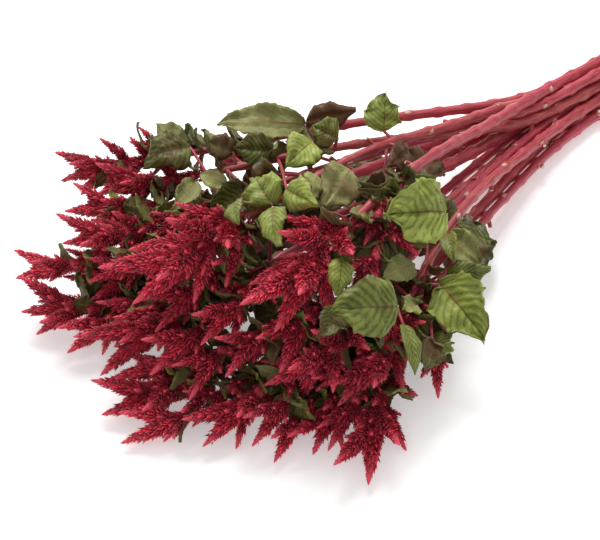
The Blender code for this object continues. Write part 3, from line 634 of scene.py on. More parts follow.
def take_paths(room, settled):
    """Takes room along every stem and shoot, and along every head's core."""
    for name, (stem, line, radii, core) in settled.items():
        room.take("stem_" + stem, *balls_along(line, radii))
        room.take("core_" + name, *balls_along(core, np.full(len(core), radii[-1])))


# The flower heads


def spike_line(root, tip, bend, share):
    """Places along a spike's gently bent centre line, at shares from 0 to 1."""
    share = np.asarray(share)[:, None]
    return root + (tip - root) * share + bend * (4 * share * (1 - share))


def spike_radius(length, share):
    """A spike's outer radius: full a quarter of the way up, then tapering to a fine tip."""
    share = np.asarray(share)
    swell = np.minimum(1.0, SPIKE_FOOT + SPIKE_SWELL * share)
    taper = np.maximum(1 - share, 0.0) ** SPIKE_TAPER
    return SPIKE_FATNESS * length * (swell * taper * SPIKE_FULLNESS) + SPIKE_TIP_RADIUS


def leaned(direction, lean, roll):
    side, other = across(direction)
    sideways = math.cos(roll) * side + math.sin(roll) * other
    return math.cos(lean) * direction + math.sin(lean) * sideways


def axis_place(core, foremost, back):
    """A place on a head's axis: back is 0 part way up the foremost spike and 1 just above the core's foot."""
    upper = spike_line(*foremost[:3], np.linspace(SIDE_SPIKES_FROM, 0, 5))
    axis = np.vstack([upper, core[::-1]])
    walked = walked_along(axis)
    return places_at(back * (walked[-1] - CORE_FOOT_FREE), walked, axis)[0]


def add_spike(name, core, tip, back, spikes, room):
    """Adds one spike to a head where there is room: the foremost first, then others leaning out round it."""
    chance = np.random.default_rng([len(spikes)] + [ord(letter) for letter in name])
    length = np.linalg.norm(tip - core[-1])
    axis = (tip - core[-1]) / length
    inner = "head_" + name
    outer = inner + " spikes"
    if spikes:
        root = axis_place(core, spikes[0], back)
        onward = unit((1 - back) * axis + back * unit(core[-1] - core[0]))
        roll = len(spikes) * GOLDEN_TURN + chance.uniform(-TURN_STRAY, TURN_STRAY)
        wanted = leaned(onward, math.radians(TOP_LEAN + (FOOT_LEAN - TOP_LEAN) * back), roll)
        reach = length * (TOP_SPIKE + (FOOT_SPIKE - TOP_SPIKE) * back)
    else:
        root = core[-1]
        wanted = axis
        reach = length
    shares = np.linspace(SPIKE_BALLS_FROM, 1.0, SPIKE_BALLS)
    for attempt in range(ATTEMPTS):
        stray = attempt / ATTEMPTS
        direction = leaned(wanted, STRAY_TURN * stray, attempt * GOLDEN_TURN)
        size = reach * (1 - STRAY_SHRINK * stray)
        bend = UP * SPIKE_BEND * size * chance.uniform(*SPIKE_BENDS)
        end = root + direction * size
        centres = spike_line(root, end, bend, shares)
        radii = spike_radius(size, shares)
        own = [inner, "core_" + name]
        roots = (centres[:ROOT_BALLS], radii[:ROOT_BALLS])
        beyond = (centres[ROOT_BALLS:], radii[ROOT_BALLS:])
        if room.is_free(own + [outer], *roots) and room.is_free(own, *beyond):
            room.take(inner, *roots)
            room.take(outer, *beyond)
            spikes.append((root, end, bend, size))
            return


def grown_heads(settled, room):
    """Sets every head's foremost spike, then all their second ones, and so on until each head is full."""
    spikes = {name: [] for name in HEADS}
    order = sorted(HEADS, key=lambda name: -HEADS[name][0][2])
    for rank in range(max(count for start, tip, count in HEADS.values())):
        for name in order:
            start, tip, count = HEADS[name]
            if rank >= count or (rank and not spikes[name]):
                continue
            core = settled[name][3]
            tip = vector(tip) + core[-1] - vector(start)
            add_spike(name, core, tip, rank / max(count - 1, 1), spikes[name], room)
    return spikes


# The leaves


def leaf_places(leaf, u, v):
    """Places on a leaf's middle surface: u is 0 at the stalk and 1 at the tip, v is -1 to 1 across."""
    base, tip, width, face, twist, phase = leaf
    along = tip - base
    length = np.linalg.norm(along)
    along = along / length
    side = unit(np.cross(face, along))
    up = np.cross(along, side)
    u = np.asarray(u)[:, None]
    v = np.asarray(v)[:, None]
    blade = width / 2 * u ** LEAF_OUTLINE[0] * (1 - u) ** LEAF_OUTLINE[1] / OUTLINE_WIDEST
    half = blade + STALK_HALF * (1 - u / 2)
    turn = twist * u
    out = np.cos(turn) * side + np.sin(turn) * up
    high = np.cos(turn) * up - np.sin(turn) * side
    wave = LEAF_WAVE * width * v ** 2 * np.sin(2 * np.pi * LEAF_WAVES * u + phase + WAVE_SKEW * v)
    lift = wave * np.minimum(1, 4 * u * (1 - u) + 0.2) + LEAF_FOLD * np.abs(v) * half
    arch = LEAF_ARCH * length * 4 * u * (1 - u)
    return base + along * length * u + out * half * v + high * lift + up * arch


def strayed_leaf(base, tip, width, stray, chance):
    """A leaf moved, turned and shrunk at random, the more the greater its stray."""
    shift = chance.uniform(-1, 1, 3) * LEAF_SHIFT * stray
    swing = chance.uniform(-1, 1, 3) * LEAF_SWING * stray
    roll = chance.uniform(-1, 1) * LEAF_ROLL * stray
    size = 1 - LEAF_SHRINK * stray
    along = unit(tip - base)
    outlook = OUTLOOK if base[2] > LOW_LEAF else LOW_OUTLOOK
    face = unit(outlook + FACE_STRAY * chance.uniform(-1, 1, 3))
    face = face * math.cos(roll) + np.cross(along, face) * math.sin(roll)
    blade_tip = base + shift + (tip + swing - base) * size
    twist = chance.uniform(-LEAF_TWIST, LEAF_TWIST)
    return base + shift, blade_tip, width * size, face, twist, chance.uniform(*PHASES)


def leaf_balls(leaf, root):
    """Balls that fill a leaf: those of its stalk and foot, which may touch its own stem, and those beyond."""
    base, tip, width = leaf[:3]
    rows = int(np.linalg.norm(tip - base) / BLADE_PITCH) + 4
    columns = int(width / BLADE_PITCH) + 3
    u, v = [grid.ravel() for grid in np.meshgrid(np.linspace(0, 1, rows), np.linspace(-1, 1, columns))]
    steps = np.linspace(0, 1, max(4, int(np.linalg.norm(base - root) / STALK_ROOM)))[:, None]
    stalk = root + (base - root) * steps
    blade = leaf_places(leaf, u, v)
    foot = np.vstack([blade[u < NEAR_STEM], stalk])
    foot_radii = np.full(len(foot), BLADE_ROOM)
    foot_radii[-len(stalk):] = STALK_ROOM
    beyond = blade[u >= NEAR_STEM]
    return (foot, foot_radii), (beyond, np.full(len(beyond), BLADE_ROOM))


def planned_leaves():
    """The listed leaves, then the low ones spread evenly under the bunch, their tips towards the heads."""
    chance = np.random.default_rng(LOW_LEAF_SEED)
    low = []
    for x in LOW_LEAVES_X:
        for y in LOW_LEAVES_Y:
            if abs(y - FAN_MIDDLE) > FAN_HALF - FAN_SLOPE * x:
                continue
            least = (-LOW_LEAF_SHIFT, -LOW_LEAF_SHIFT, LOW_LEAVES_Z[0])
            most = (LOW_LEAF_SHIFT, LOW_LEAF_SHIFT, LOW_LEAVES_Z[1])
            base = vector((x, y, 0)) + chance.uniform(least, most)
            turn = np.pi + chance.uniform(-LOW_LEAF_TURN, LOW_LEAF_TURN)
            tip = base + chance.uniform(*LOW_LEAF_REACH) * vector((math.cos(turn), math.sin(turn), 0.0))
            low.append((base, tip, chance.uniform(*LOW_LEAF_WIDTH), *LOW_LEAF_LOOK))
    return list(LEAVES) + low


def grown_leaves(settled, room):
    """Sets each leaf on one of the nearest stems, turned a little where it must clear its neighbours."""
    stems = [stem for stem, line, radii, core in settled.values() for place in line]
    places = np.vstack([line for stem, line, radii, core in settled.values()])
    grown = []
    for index, (base, tip, width, *look) in enumerate(planned_leaves()):
        chance = np.random.default_rng(LEAF_SEED + index)
        order = np.argsort(np.linalg.norm(places - vector(base), axis=1))
        for attempt in range(LEAF_ATTEMPTS):
            stray = attempt / LEAF_ATTEMPTS
            leaf = strayed_leaf(vector(base), vector(tip), width, stray, chance)
            pick = order[int(stray * STEM_CHOICE * len(order))]
            node = "stem_" + stems[pick]
            foot, beyond = leaf_balls(leaf, places[pick])
            if room.is_free([node], *foot) and room.is_free([], *beyond):
                room.take(node + " leaves", *foot)
                room.take(node + " leaves", *beyond)
                grown.append((stems[pick], places[pick], leaf, look))
                break
    return grown


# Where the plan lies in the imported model


def plan_shift():
    """The move, in millimetres, from the bunch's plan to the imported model, read off the band's box."""
    low, high = [np.array(corner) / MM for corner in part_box("tie")]
    sides = [side for side, height in band_slots().values()]
    middle = (low + high) / 2
    return np.array([middle[0] - TIE_X, middle[1] - (min(sides) + max(sides)) / 2, 0.0])


# Camera, floor and light


def loose_object(name, data):
    made = bpy.data.objects.new(name, data)
    bpy.context.scene.collection.objects.link(made)
    return made


def place_camera(shift):
    """The camera looks down on the heads from their side of the table."""
    turn = math.radians(CAMERA_TURN)
    rise = math.radians(CAMERA_RISE)
    back = np.array([math.sin(turn) * math.cos(rise), -math.cos(turn) * math.cos(rise), math.sin(rise)])
    lens = bpy.data.cameras.new("camera")
    lens.sensor_width = CAMERA_SENSOR
    lens.lens = CAMERA_LENS
    camera = loose_object("camera", lens)
    camera.location = Vector((CAMERA_AIM + shift + back * CAMERA_DISTANCE) * MM)
    camera.rotation_euler = Vector(-back).to_track_quat("-Z", "Y").to_euler()
    bpy.context.scene.camera = camera


def area_light(name, place, aim, size, power):
    lamp = bpy.data.lights.new(name, "AREA")
    lamp.shape = "DISK"
    lamp.size = size
    lamp.energy = power
    light = loose_object(name, lamp)
    light.location = place
    light.rotation_euler = (Vector(aim) - Vector(place)).to_track_quat("-Z", "Y").to_euler()


def studio():
    """A plain white table with a faint painted glow, a white room, a large light high behind the bunch and a
    weak one at its left.
    """
    world = bpy.data.worlds.new("white room")
    world.use_nodes = True
    background = world.node_tree.nodes["Background"]
    background.inputs["Color"].default_value = WHITE
    background.inputs["Strength"].default_value = ROOM_LIGHT
    bpy.context.scene.world = world
    bpy.context.scene.view_settings.view_transform = "Standard"
    for name, settings in LIGHTS.items():
        area_light(name, *settings)
    mesh = bpy.data.meshes.new("table")
    corners = [(x * TABLE_HALF, y * TABLE_HALF, 0) for x, y in ((-1, -1), (1, -1), (1, 1), (-1, 1))]
    mesh.from_pydata(corners, [], [(0, 1, 2, 3)])
    mesh.materials.append(table_white())
    table = loose_object("table", mesh)
    table.location.z = -TABLE_DROP


# Materials


def add_node(tree, kind, inputs=None, **settings):
    """Adds a node with its settings; an input is given a value, or a socket to link to."""
    made = tree.nodes.new(kind)
    for name, value in settings.items():
        setattr(made, name, value)
    for key, value in (inputs or {}).items():
        if isinstance(value, bpy.types.NodeSocket):
            tree.links.new(value, made.inputs[key])
        else:
            made.inputs[key].default_value = value
    return made


def output(tree, kind, inputs=None, **settings):
    """The first output of a new node."""
    return add_node(tree, kind, inputs, **settings).outputs[0]


def start_material(name, roughness, specular):
    made = bpy.data.materials.new(name)
    made.use_nodes = True
    shader = made.node_tree.nodes["Principled BSDF"]
    shader.inputs["Roughness"].default_value = roughness
    shader.inputs["Specular IOR Level"].default_value = specular
    return made, made.node_tree, shader


def attribute(tree, name, kind="Fac"):
    """What a mesh keeps under a name, as a number or a vector."""
    return add_node(tree, "ShaderNodeAttribute", attribute_name=name).outputs[kind]


def object_place(tree):
    return add_node(tree, "ShaderNodeTexCoord").outputs["Object"]


def math_node(tree, operation, first, second=0.0, clamp=False):
    return output(tree, "ShaderNodeMath", {0: first, 1: second}, operation=operation, use_clamp=clamp)


def times(tree, first, second):
    return math_node(tree, "MULTIPLY", first, second)


def plus(tree, first, second):
    return math_node(tree, "ADD", first, second)


def minus(tree, first, second, clamp=False):
    return math_node(tree, "SUBTRACT", first, second, clamp)


def mixed(tree, share, first, second):
    """Two colours mixed by a share from 0 to 1."""
    ends = [(*colour, 1.0) if isinstance(colour, tuple) else colour for colour in (first, second)]
    return add_node(tree, "ShaderNodeMix", {0: share, 6: ends[0], 7: ends[1]}, data_type="RGBA").outputs[2]


def spread(tree, value, low, high, to_low=0.0, to_high=1.0):
    """A value's range low to high mapped smoothly to another range."""
    inputs = {0: value, 1: low, 2: high, 3: to_low, 4: to_high}
    return output(tree, "ShaderNodeMapRange", inputs, interpolation_type="SMOOTHSTEP")


def noise(tree, where, scale, detail=3.0):
    """Uneven values from 0 to 1; the greater the scale, the finer the grain."""
    inputs = {"Vector": where, "Scale": scale, "Detail": detail}
    return output(tree, "ShaderNodeTexNoise", inputs)


def paint(tree, shader, colour):
    tree.links.new(colour, shader.inputs["Base Color"])


def bump(tree, shader, height, strength, distance):
    relief = output(tree, "ShaderNodeBump", {"Height": height, "Strength": strength, "Distance": distance})
    tree.links.new(relief, shader.inputs["Normal"])


def table_white():
    made, tree, shader = start_material("white table, painted glow", roughness=0.9, specular=0.1)
    # Painted light: the table glows so that the shadows on it stay pale
    shader.inputs["Emission Color"].default_value = WHITE
    shader.inputs["Emission Strength"].default_value = TABLE_PAINTED_GLOW
    paint(tree, shader, mixed(tree, noise(tree, object_place(tree), 40.0), *TABLE_WHITES))
    return made


def floret_crimson():
    """Dark at a floret's foot as painted shade, crimson along it, rose pink at its tip, partly painted
    highlight; no two florets are quite alike.
    """
    made, tree, shader = start_material("crimson floret", roughness=0.55, specular=0.35)
    reach = attribute(tree, "reach")
    blush = attribute(tree, "blush")
    # Painted shade: each floret darkens towards its foot, deep in the spike
    body = mixed(tree, spread(tree, reach, 0.0, 0.6), *FLORET_BODY_AND_DEPTH_SHADE)
    # The pink tips are partly the florets' own colour and partly a painted highlight
    tip = mixed(tree, blush, *FLORET_TIP_AND_HIGHLIGHT)
    colour = mixed(tree, spread(tree, reach, 0.55, 1.0), body, tip)
    bright = spread(tree, attribute(tree, "tone"), 0.0, 1.0, 0.5, 1.4)
    upper = spread(tree, attribute(tree, "share"), 0.1, 0.9, 0.8, 1.25)
    rosy = spread(tree, blush, 0.0, 1.0, 0.8, 1.15)
    level = times(tree, bright, times(tree, upper, rosy))
    shaded = output(tree, "ShaderNodeHueSaturation", {"Color": colour, "Value": level})
    paint(tree, shader, shaded)
    shader.inputs["Sheen Weight"].default_value = 0.25
    shader.inputs["Sheen Tint"].default_value = FLORET_SHEEN
    bump(tree, shader, noise(tree, object_place(tree), 2500.0), strength=0.3, distance=0.0002)
    return made


def core_maroon_and_shade():
    """The spike's own axis: deep maroon, darkened as painted shade between the florets, and a rose pink bud
    at its tip.
    """
    made, tree, shader = start_material("maroon core, painted shade", roughness=0.7, specular=0.25)
    where = object_place(tree)
    grain = noise(tree, where, 700.0)
    # Painted shade: the core is dark maroon where it shows between the florets
    deep = mixed(tree, grain, *CORE_MAROON_AND_SHADE)
    bud = mixed(tree, noise(tree, where, 1500.0), *BUD_PINK)
    paint(tree, shader, mixed(tree, spread(tree, attribute(tree, "share"), 0.5, 0.88), deep, bud))
    bump(tree, shader, grain, strength=0.6, distance=0.0006)
    return made


def leaf_veins(tree, along, aside, stray):
    """Side veins that sweep towards the tip, the midrib and the bulges between veins, each from 0 to 1; the
    bulges mask painted light.
    """
    sweep = times(tree, math_node(tree, "POWER", aside, VEIN_CURVE), VEIN_SWEEP)
    even = times(tree, minus(tree, along, sweep), VEINS)
    phase = plus(tree, even, times(tree, stray, VEIN_STRAY))
    offset = math_node(tree, "ABSOLUTE", minus(tree, math_node(tree, "FRACT", phase), 0.5))
    fade = spread(tree, aside, 1.0, 0.75)
    side_vein = times(tree, spread(tree, offset, 0.38, 0.50), fade)
    return side_vein, spread(tree, aside, 0.08, 0.0), spread(tree, offset, 0.45, 0.10)


def leaf_material(name, dark, light, vein_shade_and_colour, edge, roughness, vein_share):
    """Green from dark to light by each leaf's tone and painted shade, painted light between veins, veins,
    mottling, brown from ripeness and painted shade, a burgundy edge.
    """
    made, tree, shader = start_material(name, roughness, specular=0.28)
    flat = output(tree, "ShaderNodeUVMap", uv_map="leaf")
    split = add_node(tree, "ShaderNodeSeparateXYZ", {0: flat})
    along = split.outputs[0]
    middle = minus(tree, split.outputs[1], 0.5)
    aside = times(tree, math_node(tree, "ABSOLUTE", middle), 2.0)
    where = object_place(tree)
    patches = noise(tree, where, 60.0)
    side_vein, midrib, bulge = leaf_veins(tree, along, aside, noise(tree, where, 180.0))
    # Each leaf's lightness is partly its own tone and partly painted shade, low for leaves that lie in shade
    level = plus(tree, times(tree, patches, 0.8), attribute(tree, "light"))
    # Painted light: the bulges between the veins are made lighter
    level_with_painted_bulge_light = plus(tree, level, times(tree, bulge, 0.24))
    ground = mixed(tree, minus(tree, level_with_painted_bulge_light, 0.52, True), dark, light)
    mesh = {"Vector": where, "Scale": 420.0}
    cells = add_node(tree, "ShaderNodeTexVoronoi", mesh, feature="DISTANCE_TO_EDGE")
    net = spread(tree, cells.outputs["Distance"], 0.12, 0.0)
    # On the upper side the vein colour is dark, painted shade in the vein grooves and the fine net; on the
    # lower side it is the veins' own pale colour
    netted = mixed(tree, times(tree, net, 0.12), ground, vein_shade_and_colour)
    veined = mixed(tree, times(tree, side_vein, vein_share), netted, vein_shade_and_colour)
    rib = mixed(tree, spread(tree, along, 0.75, 0.15), vein_shade_and_colour, LEAF_RIB)
    ribbed = mixed(tree, times(tree, midrib, 0.8), veined, rib)
    # Brown blotches: partly ripeness, partly painted shade on leaves that lie in shade
    blotch = noise(tree, where, 35.0)
    blotches = spread(tree, plus(tree, blotch, attribute(tree, "ripe")), 0.75, 1.25)
    aged_and_shaded = mixed(tree, blotches, ribbed, LEAF_RIPE_AND_SHADE)
    rim = plus(tree, aside, times(tree, blotch, 0.8))
    edged = mixed(tree, spread(tree, rim, 1.36, 1.50), aged_and_shaded, edge)
    paint(tree, shader, edged)
    height = minus(tree, noise(tree, where, 900.0), times(tree, net, 0.5))
    bump(tree, shader, height, strength=0.35, distance=0.0005)
    shader.inputs["Sheen Weight"].default_value = 0.05
    return made


def stem_rose():
    """Rose-red stem skin, streaked along it and paler in patches, greyer where young; pith at its cut end."""
    made, tree, shader = start_material("rose stem", roughness=0.42, specular=0.45)
    rod = attribute(tree, "rod", "Vector")
    stretched = output(tree, "ShaderNodeMapping", {"Vector": rod, "Scale": (1.0, 1.0, 0.07)})
    streaks = noise(tree, stretched, 900.0, 4.0)
    patches = noise(tree, rod, 45.0)
    tint = attribute(tree, "tint")
    deep = mixed(tree, tint, *STEM_DEEP)
    pale = mixed(tree, tint, *STEM_PALE)
    skin = mixed(tree, spread(tree, streaks, 0.3, 0.75), deep, pale)
    colour = mixed(tree, spread(tree, patches, 0.55, 0.85), skin, STEM_PATCH)
    young = mixed(tree, times(tree, attribute(tree, "youth"), 0.45), colour, STEM_YOUNG)
    ring = attribute(tree, "ring", "Vector")
    rim = add_node(tree, "ShaderNodeVectorMath", {0: ring}, operation="LENGTH").outputs["Value"]
    paint(tree, shader, mixed(tree, spread(tree, rim, 0.9, 0.8), young, STEM_PITH))
    bump(tree, shader, streaks, strength=0.35, distance=0.0005)
    return made


def scar_ivory():
    """Pale corky scars where leaves were stripped from the stem."""
    made, tree, shader = start_material("ivory scar", roughness=0.7, specular=0.3)
    grain = noise(tree, object_place(tree), 900.0)
    paint(tree, shader, mixed(tree, grain, *SCAR_CORK))
    bump(tree, shader, grain, strength=0.5, distance=0.0005)
    return made


def band_rubber():
    """Natural tan rubber."""
    made, tree, shader = start_material("tan rubber", roughness=0.6, specular=0.4)
    grain = noise(tree, attribute(tree, "rod", "Vector"), 1200.0)
    paint(tree, shader, mixed(tree, grain, *BAND_TAN))
    bump(tree, shader, grain, strength=0.4, distance=0.0003)
    return made


# Geometry Nodes trees


def start_tree(name, inputs):
    """A Geometry Nodes tree with a geometry input, the named inputs given and a geometry output."""
    tree = bpy.data.node_groups.new(name, "GeometryNodeTree")
    tree.interface.new_socket("Geometry", in_out="INPUT", socket_type="NodeSocketGeometry")
    for label, kind in inputs:
        tree.interface.new_socket(label, in_out="INPUT", socket_type="NodeSocket" + kind)
    tree.interface.new_socket("Geometry", in_out="OUTPUT", socket_type="NodeSocketGeometry")
    return tree, add_node(tree, "NodeGroupInput").outputs, add_node(tree, "NodeGroupOutput")


def named(tree, name, kind="FLOAT"):
    return output(tree, "GeometryNodeInputNamedAttribute", {"Name": name}, data_type=kind)


def stored(tree, geometry, name, vector_value):
    """The geometry with a vector kept on each of its points."""
    made = add_node(tree, "GeometryNodeStoreNamedAttribute", data_type="FLOAT_VECTOR", domain="POINT")
    made.inputs["Name"].default_value = name
    tree.links.new(geometry, made.inputs["Geometry"])
    tree.links.new(vector_value, made.inputs["Value"])
    return made.outputs[0]


def removed(tree, geometry, names):
    """The geometry without the values that only the tree itself needs."""
    for name in names:
        geometry = output(tree, "GeometryNodeRemoveAttribute", {0: geometry, "Name": name})
    return geometry


def scaled(tree, direction, factor):
    course = {0: direction, "Scale": factor}
    return output(tree, "ShaderNodeVectorMath", course, operation="SCALE")


def dressed(tree, geometry, material):
    return output(tree, "GeometryNodeSetMaterial", {0: geometry, "Material": material})


def planting_tree():
    """Plants a shape on every loose point, standing along its direction with its front turned outwards."""
    labels = [("Shape", "Object"), ("Width", "Float"), ("Jitter", "Float"), ("Seed", "Int")]
    labels += [("Shape material", "Material"), ("Ground material", "Material")]
    tree, given, result = start_tree("planting", labels)
    shape = add_node(tree, "GeometryNodeObjectInfo", {"Object": given["Shape"]})
    course = {"Vector": named(tree, "direction", "FLOAT_VECTOR")}
    upright = output(tree, "FunctionNodeAlignRotationToVector", course, axis="Z")
    front = {"Rotation": upright, "Vector": named(tree, "outward", "FLOAT_VECTOR")}
    turned = output(tree, "FunctionNodeAlignRotationToVector", front, axis="X", pivot_axis="Z")
    least = scaled(tree, (-1.0, -1.0, -1.0), given["Jitter"])
    most = scaled(tree, (1.0, 1.0, 1.0), given["Jitter"])
    chance = add_node(tree, "FunctionNodeRandomValue", {"Seed": given["Seed"]}, data_type="FLOAT_VECTOR")
    tree.links.new(least, chance.inputs[0])
    tree.links.new(most, chance.inputs[1])
    nudge = output(tree, "FunctionNodeEulerToRotation", {0: chance.outputs[0]})
    stance = {"Rotation": turned, "Rotate By": nudge}
    rotation = output(tree, "FunctionNodeRotateRotation", stance, rotation_space="LOCAL")
    length = named(tree, "length")
    width = times(tree, length, given["Width"])
    scale = output(tree, "ShaderNodeCombineXYZ", {0: width, 1: width, 2: length})
    sprouting = named(tree, "sprouts", "BOOLEAN")
    planted = output(tree, "GeometryNodeInstanceOnPoints", {
        "Points": given["Geometry"], "Selection": sprouting, "Instance": shape.outputs["Geometry"],
        "Rotation": rotation, "Scale": scale})
    real = output(tree, "GeometryNodeRealizeInstances", {0: planted})
    shapes = dressed(tree, real, given["Shape material"])
    bare = output(tree, "GeometryNodeDeleteGeometry", {0: given["Geometry"], 1: sprouting})
    ground = dressed(tree, bare, given["Ground material"])
    both = add_node(tree, "GeometryNodeJoinGeometry", {0: ground})
    tree.links.new(shapes, both.inputs[0])
    clean = removed(tree, both.outputs[0], ("direction", "outward", "length", "sprouts"))
    tree.links.new(clean, result.inputs[0])
    return tree


def rod_tree():
    """Sweeps a ridged round section along every line of points, by the radius of each point."""
    labels = [("Sides", "Int"), ("Ridges", "Float"), ("Ridge depth", "Float"), ("Skin", "Material")]
    tree, given, result = start_tree("rods", labels)
    circle = output(tree, "GeometryNodeCurvePrimitiveCircle", {"Resolution": given["Sides"], "Radius": 1.0})
    place = output(tree, "GeometryNodeInputPosition")
    split = add_node(tree, "ShaderNodeSeparateXYZ", {0: place})
    angle = math_node(tree, "ARCTAN2", split.outputs[1], split.outputs[0])
    wave = math_node(tree, "SINE", times(tree, angle, given["Ridges"]))
    swell = times(tree, wave, given["Ridge depth"])
    offset = scaled(tree, place, swell)
    ridged = output(tree, "GeometryNodeSetPosition", {0: circle, "Offset": offset})
    profile = stored(tree, ridged, "ring", place)
    line = output(tree, "GeometryNodeMeshToCurve", {0: given["Geometry"]})
    radius = named(tree, "girth")
    swept = output(tree, "GeometryNodeCurveToMesh", {
        "Curve": line, "Profile Curve": profile, "Scale": radius, "Fill Caps": True})
    aside = scaled(tree, named(tree, "ring", "FLOAT_VECTOR"), radius)
    lift = output(tree, "ShaderNodeCombineXYZ", {2: named(tree, "along")})
    rod = output(tree, "ShaderNodeVectorMath", {0: aside, 1: lift}, operation="ADD")
    marked = stored(tree, swept, "rod", rod)
    smooth = output(tree, "GeometryNodeSetShadeSmooth", {0: marked})
    skinned = dressed(tree, smooth, given["Skin"])
    tree.links.new(removed(tree, skinned, ("along", "girth")), result.inputs[0])
    return tree


def finished(source):
    """The plain mesh of an object with its modifiers; the object itself goes."""
    bpy.context.view_layer.update()
    graph = bpy.context.evaluated_depsgraph_get()
    made = source.evaluated_get(graph)
    mesh = bpy.data.meshes.new_from_object(made, preserve_all_data_layers=True, depsgraph=graph)
    bpy.data.objects.remove(source)
    return mesh


def grown(name, mesh, tree, inputs):
    """The mesh that a tree makes from a plain mesh."""
    source = loose_object(name, mesh)
    modifier = source.modifiers.new("nodes", "NODES")
    modifier.node_group = tree
    for item in tree.interface.items_tree:
        if item.in_out == "INPUT" and item.name in inputs:
            modifier[item.identifier] = inputs[item.name]
    return finished(source)


def set_attributes(mesh, **lists):
    """Keeps a list of numbers, vectors or true-or-false values under each name, one for each corner."""
    for name, values in lists.items():
        values = np.asarray(values)
        kind = "FLOAT_VECTOR" if values.ndim == 2 else "BOOLEAN" if values.dtype == bool else "FLOAT"
        held = mesh.attributes.new(name, kind, "POINT")
        stored_as = bool if kind == "BOOLEAN" else np.float32
        held.data.foreach_set("vector" if values.ndim == 2 else "value", values.astype(stored_as).ravel())


def show(name, mesh, node):
    """A finished piece, which rides on the bunch and stands for one of its solids."""
    piece = loose_object(name, mesh)
    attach(piece, "root")
    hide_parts(node)


# Flower heads


def floret_shape():
    """A pointed bract of four faces, one unit long along +Z, keeled on its +X side."""
    corners = [(0.38, 0, 0.1), (-0.22, 0.5, 0.34), (-0.22, -0.5, 0.34), (0.1, 0, 1.0)]
    faces = [(0, 1, 3), (0, 3, 2), (0, 2, 1), (1, 2, 3)]
    mesh = bpy.data.meshes.new("floret")
    mesh.from_pydata(corners, [], faces)
    set_attributes(mesh, reach=[corner[2] for corner in corners])
    return loose_object("floret", mesh)


def core_share(share):
    """How much of a rod's radius is solid core: the buds close up into a smooth tip."""
    return CORE_SHARE + (1 - CORE_SHARE) * share ** CORE_CLOSING


def floret_points(line, radii, slant, chance):
    """Florets in a spiral over a rod: their places, directions, outward sides, lengths and shares."""
    walked = walked_along(line)
    steps = np.linalg.norm(np.diff(line, axis=0), axis=1)
    skin = np.concatenate([[0], np.cumsum(np.pi * (radii[1:] + radii[:-1]) * CORE_SHARE * steps)])
    count = max(LEAST_FLORETS, int(skin[-1] / FLORET_SPACING ** 2))
    at = np.interp((np.arange(count) + 0.5) / count * skin[-1], skin, walked) * FLORETS_TO
    share = at / walked[-1]
    place = places_at(at, walked, line)
    onward = all_unit(places_at(at + 0.5, walked, line) - places_at(at - 0.5, walked, line))
    turn = np.arange(count) * GOLDEN_TURN + chance.uniform(*PHASES)
    outward = around(turn, *across(unit(line[-1] - line[0])))
    outward = all_unit(outward - onward * (outward * onward).sum(axis=1)[:, None])
    radius = np.interp(at, walked, radii)
    stray = chance.uniform(-FLORET_STRAY, FLORET_STRAY, count)
    lean = np.radians(slant[0] + (slant[1] - slant[0]) * share ** 0.8 + stray)[:, None]
    direction = np.cos(lean) * onward + np.sin(lean) * outward
    solid = core_share(share)
    reach = (1 - solid) * radius / np.sin(lean[:, 0])
    least = FLORET_LEAST[0] + (FLORET_LEAST[1] - FLORET_LEAST[0]) * share
    length = np.clip(reach, least, FLORET_MOST) * chance.uniform(*FLORET_SIZES, count)
    return place + outward * (radius * solid * 0.9)[:, None], direction, outward, length, share


def rod_faces(rings, first):
    """The faces of a closed rod of rings, with its first and last corners as poles."""
    faces = []
    for step in range(CORE_AROUND):
        after = (step + 1) % CORE_AROUND
        faces.append((first, first + 1 + after, first + 1 + step))
        for ring in range(rings - 1):
            low = first + 1 + ring * CORE_AROUND
            high = low + CORE_AROUND
            faces.append((low + step, low + after, high + after, high + step))
        last = first + 1 + (rings - 1) * CORE_AROUND
        faces.append((last + step, last + after, last + CORE_AROUND))
    return faces


def core_rod(line, radii):
    """Corners of a closed rod inside the florets, from a pole at its foot to a pole at its tip."""
    turns = np.arange(CORE_AROUND) * 2 * np.pi / CORE_AROUND
    ring = around(turns, *across(unit(line[-1] - line[0])))
    solid = radii * core_share(np.linspace(0, 1, len(line)))
    walls = (line[1:-1, None] + ring[None] * solid[1:-1, None, None]).reshape(-1, 3)
    return np.vstack([line[:1], walls, line[-1:]])


def head_rods(core, spikes, stem_radius):
    """A head's core, its spikes and the small spikes at their feet, each as line, radii and slant."""
    shares = np.concatenate([[0.0], np.linspace(0.04, 0.96, ROD_STATIONS), [1.0]])
    foot = spike_line(*spikes[0][:3], [0.15])
    sleeve = np.vstack([core, foot])
    rods = [(sleeve, np.full(len(sleeve), stem_radius * SLEEVE_FULLNESS), SLEEVE_SLANT)]
    for index, (root, tip, bend, size) in enumerate(spikes):
        rods.append((spike_line(root, tip, bend, shares), spike_radius(size, shares), SPIKE_SLANT))
        axis = unit(tip - root)
        for small in range(SMALL_SPIKES):
            start = spike_line(root, tip, bend, [SMALL_SPIKE_FROM + SMALL_SPIKE_PITCH * small])[0]
            direction = leaned(axis, math.radians(SMALL_SPIKE_LEAN), GOLDEN_TURN * (small + 3 * index))
            reach = size * (SMALL_SPIKE - SMALL_SPIKE_SHRINK * small)
            course = spike_line(start, start + direction * reach, np.zeros(3), shares)
            rods.append((course, spike_radius(reach, shares) * SMALL_SPIKE_FULLNESS, SPIKE_SLANT))
    return rods


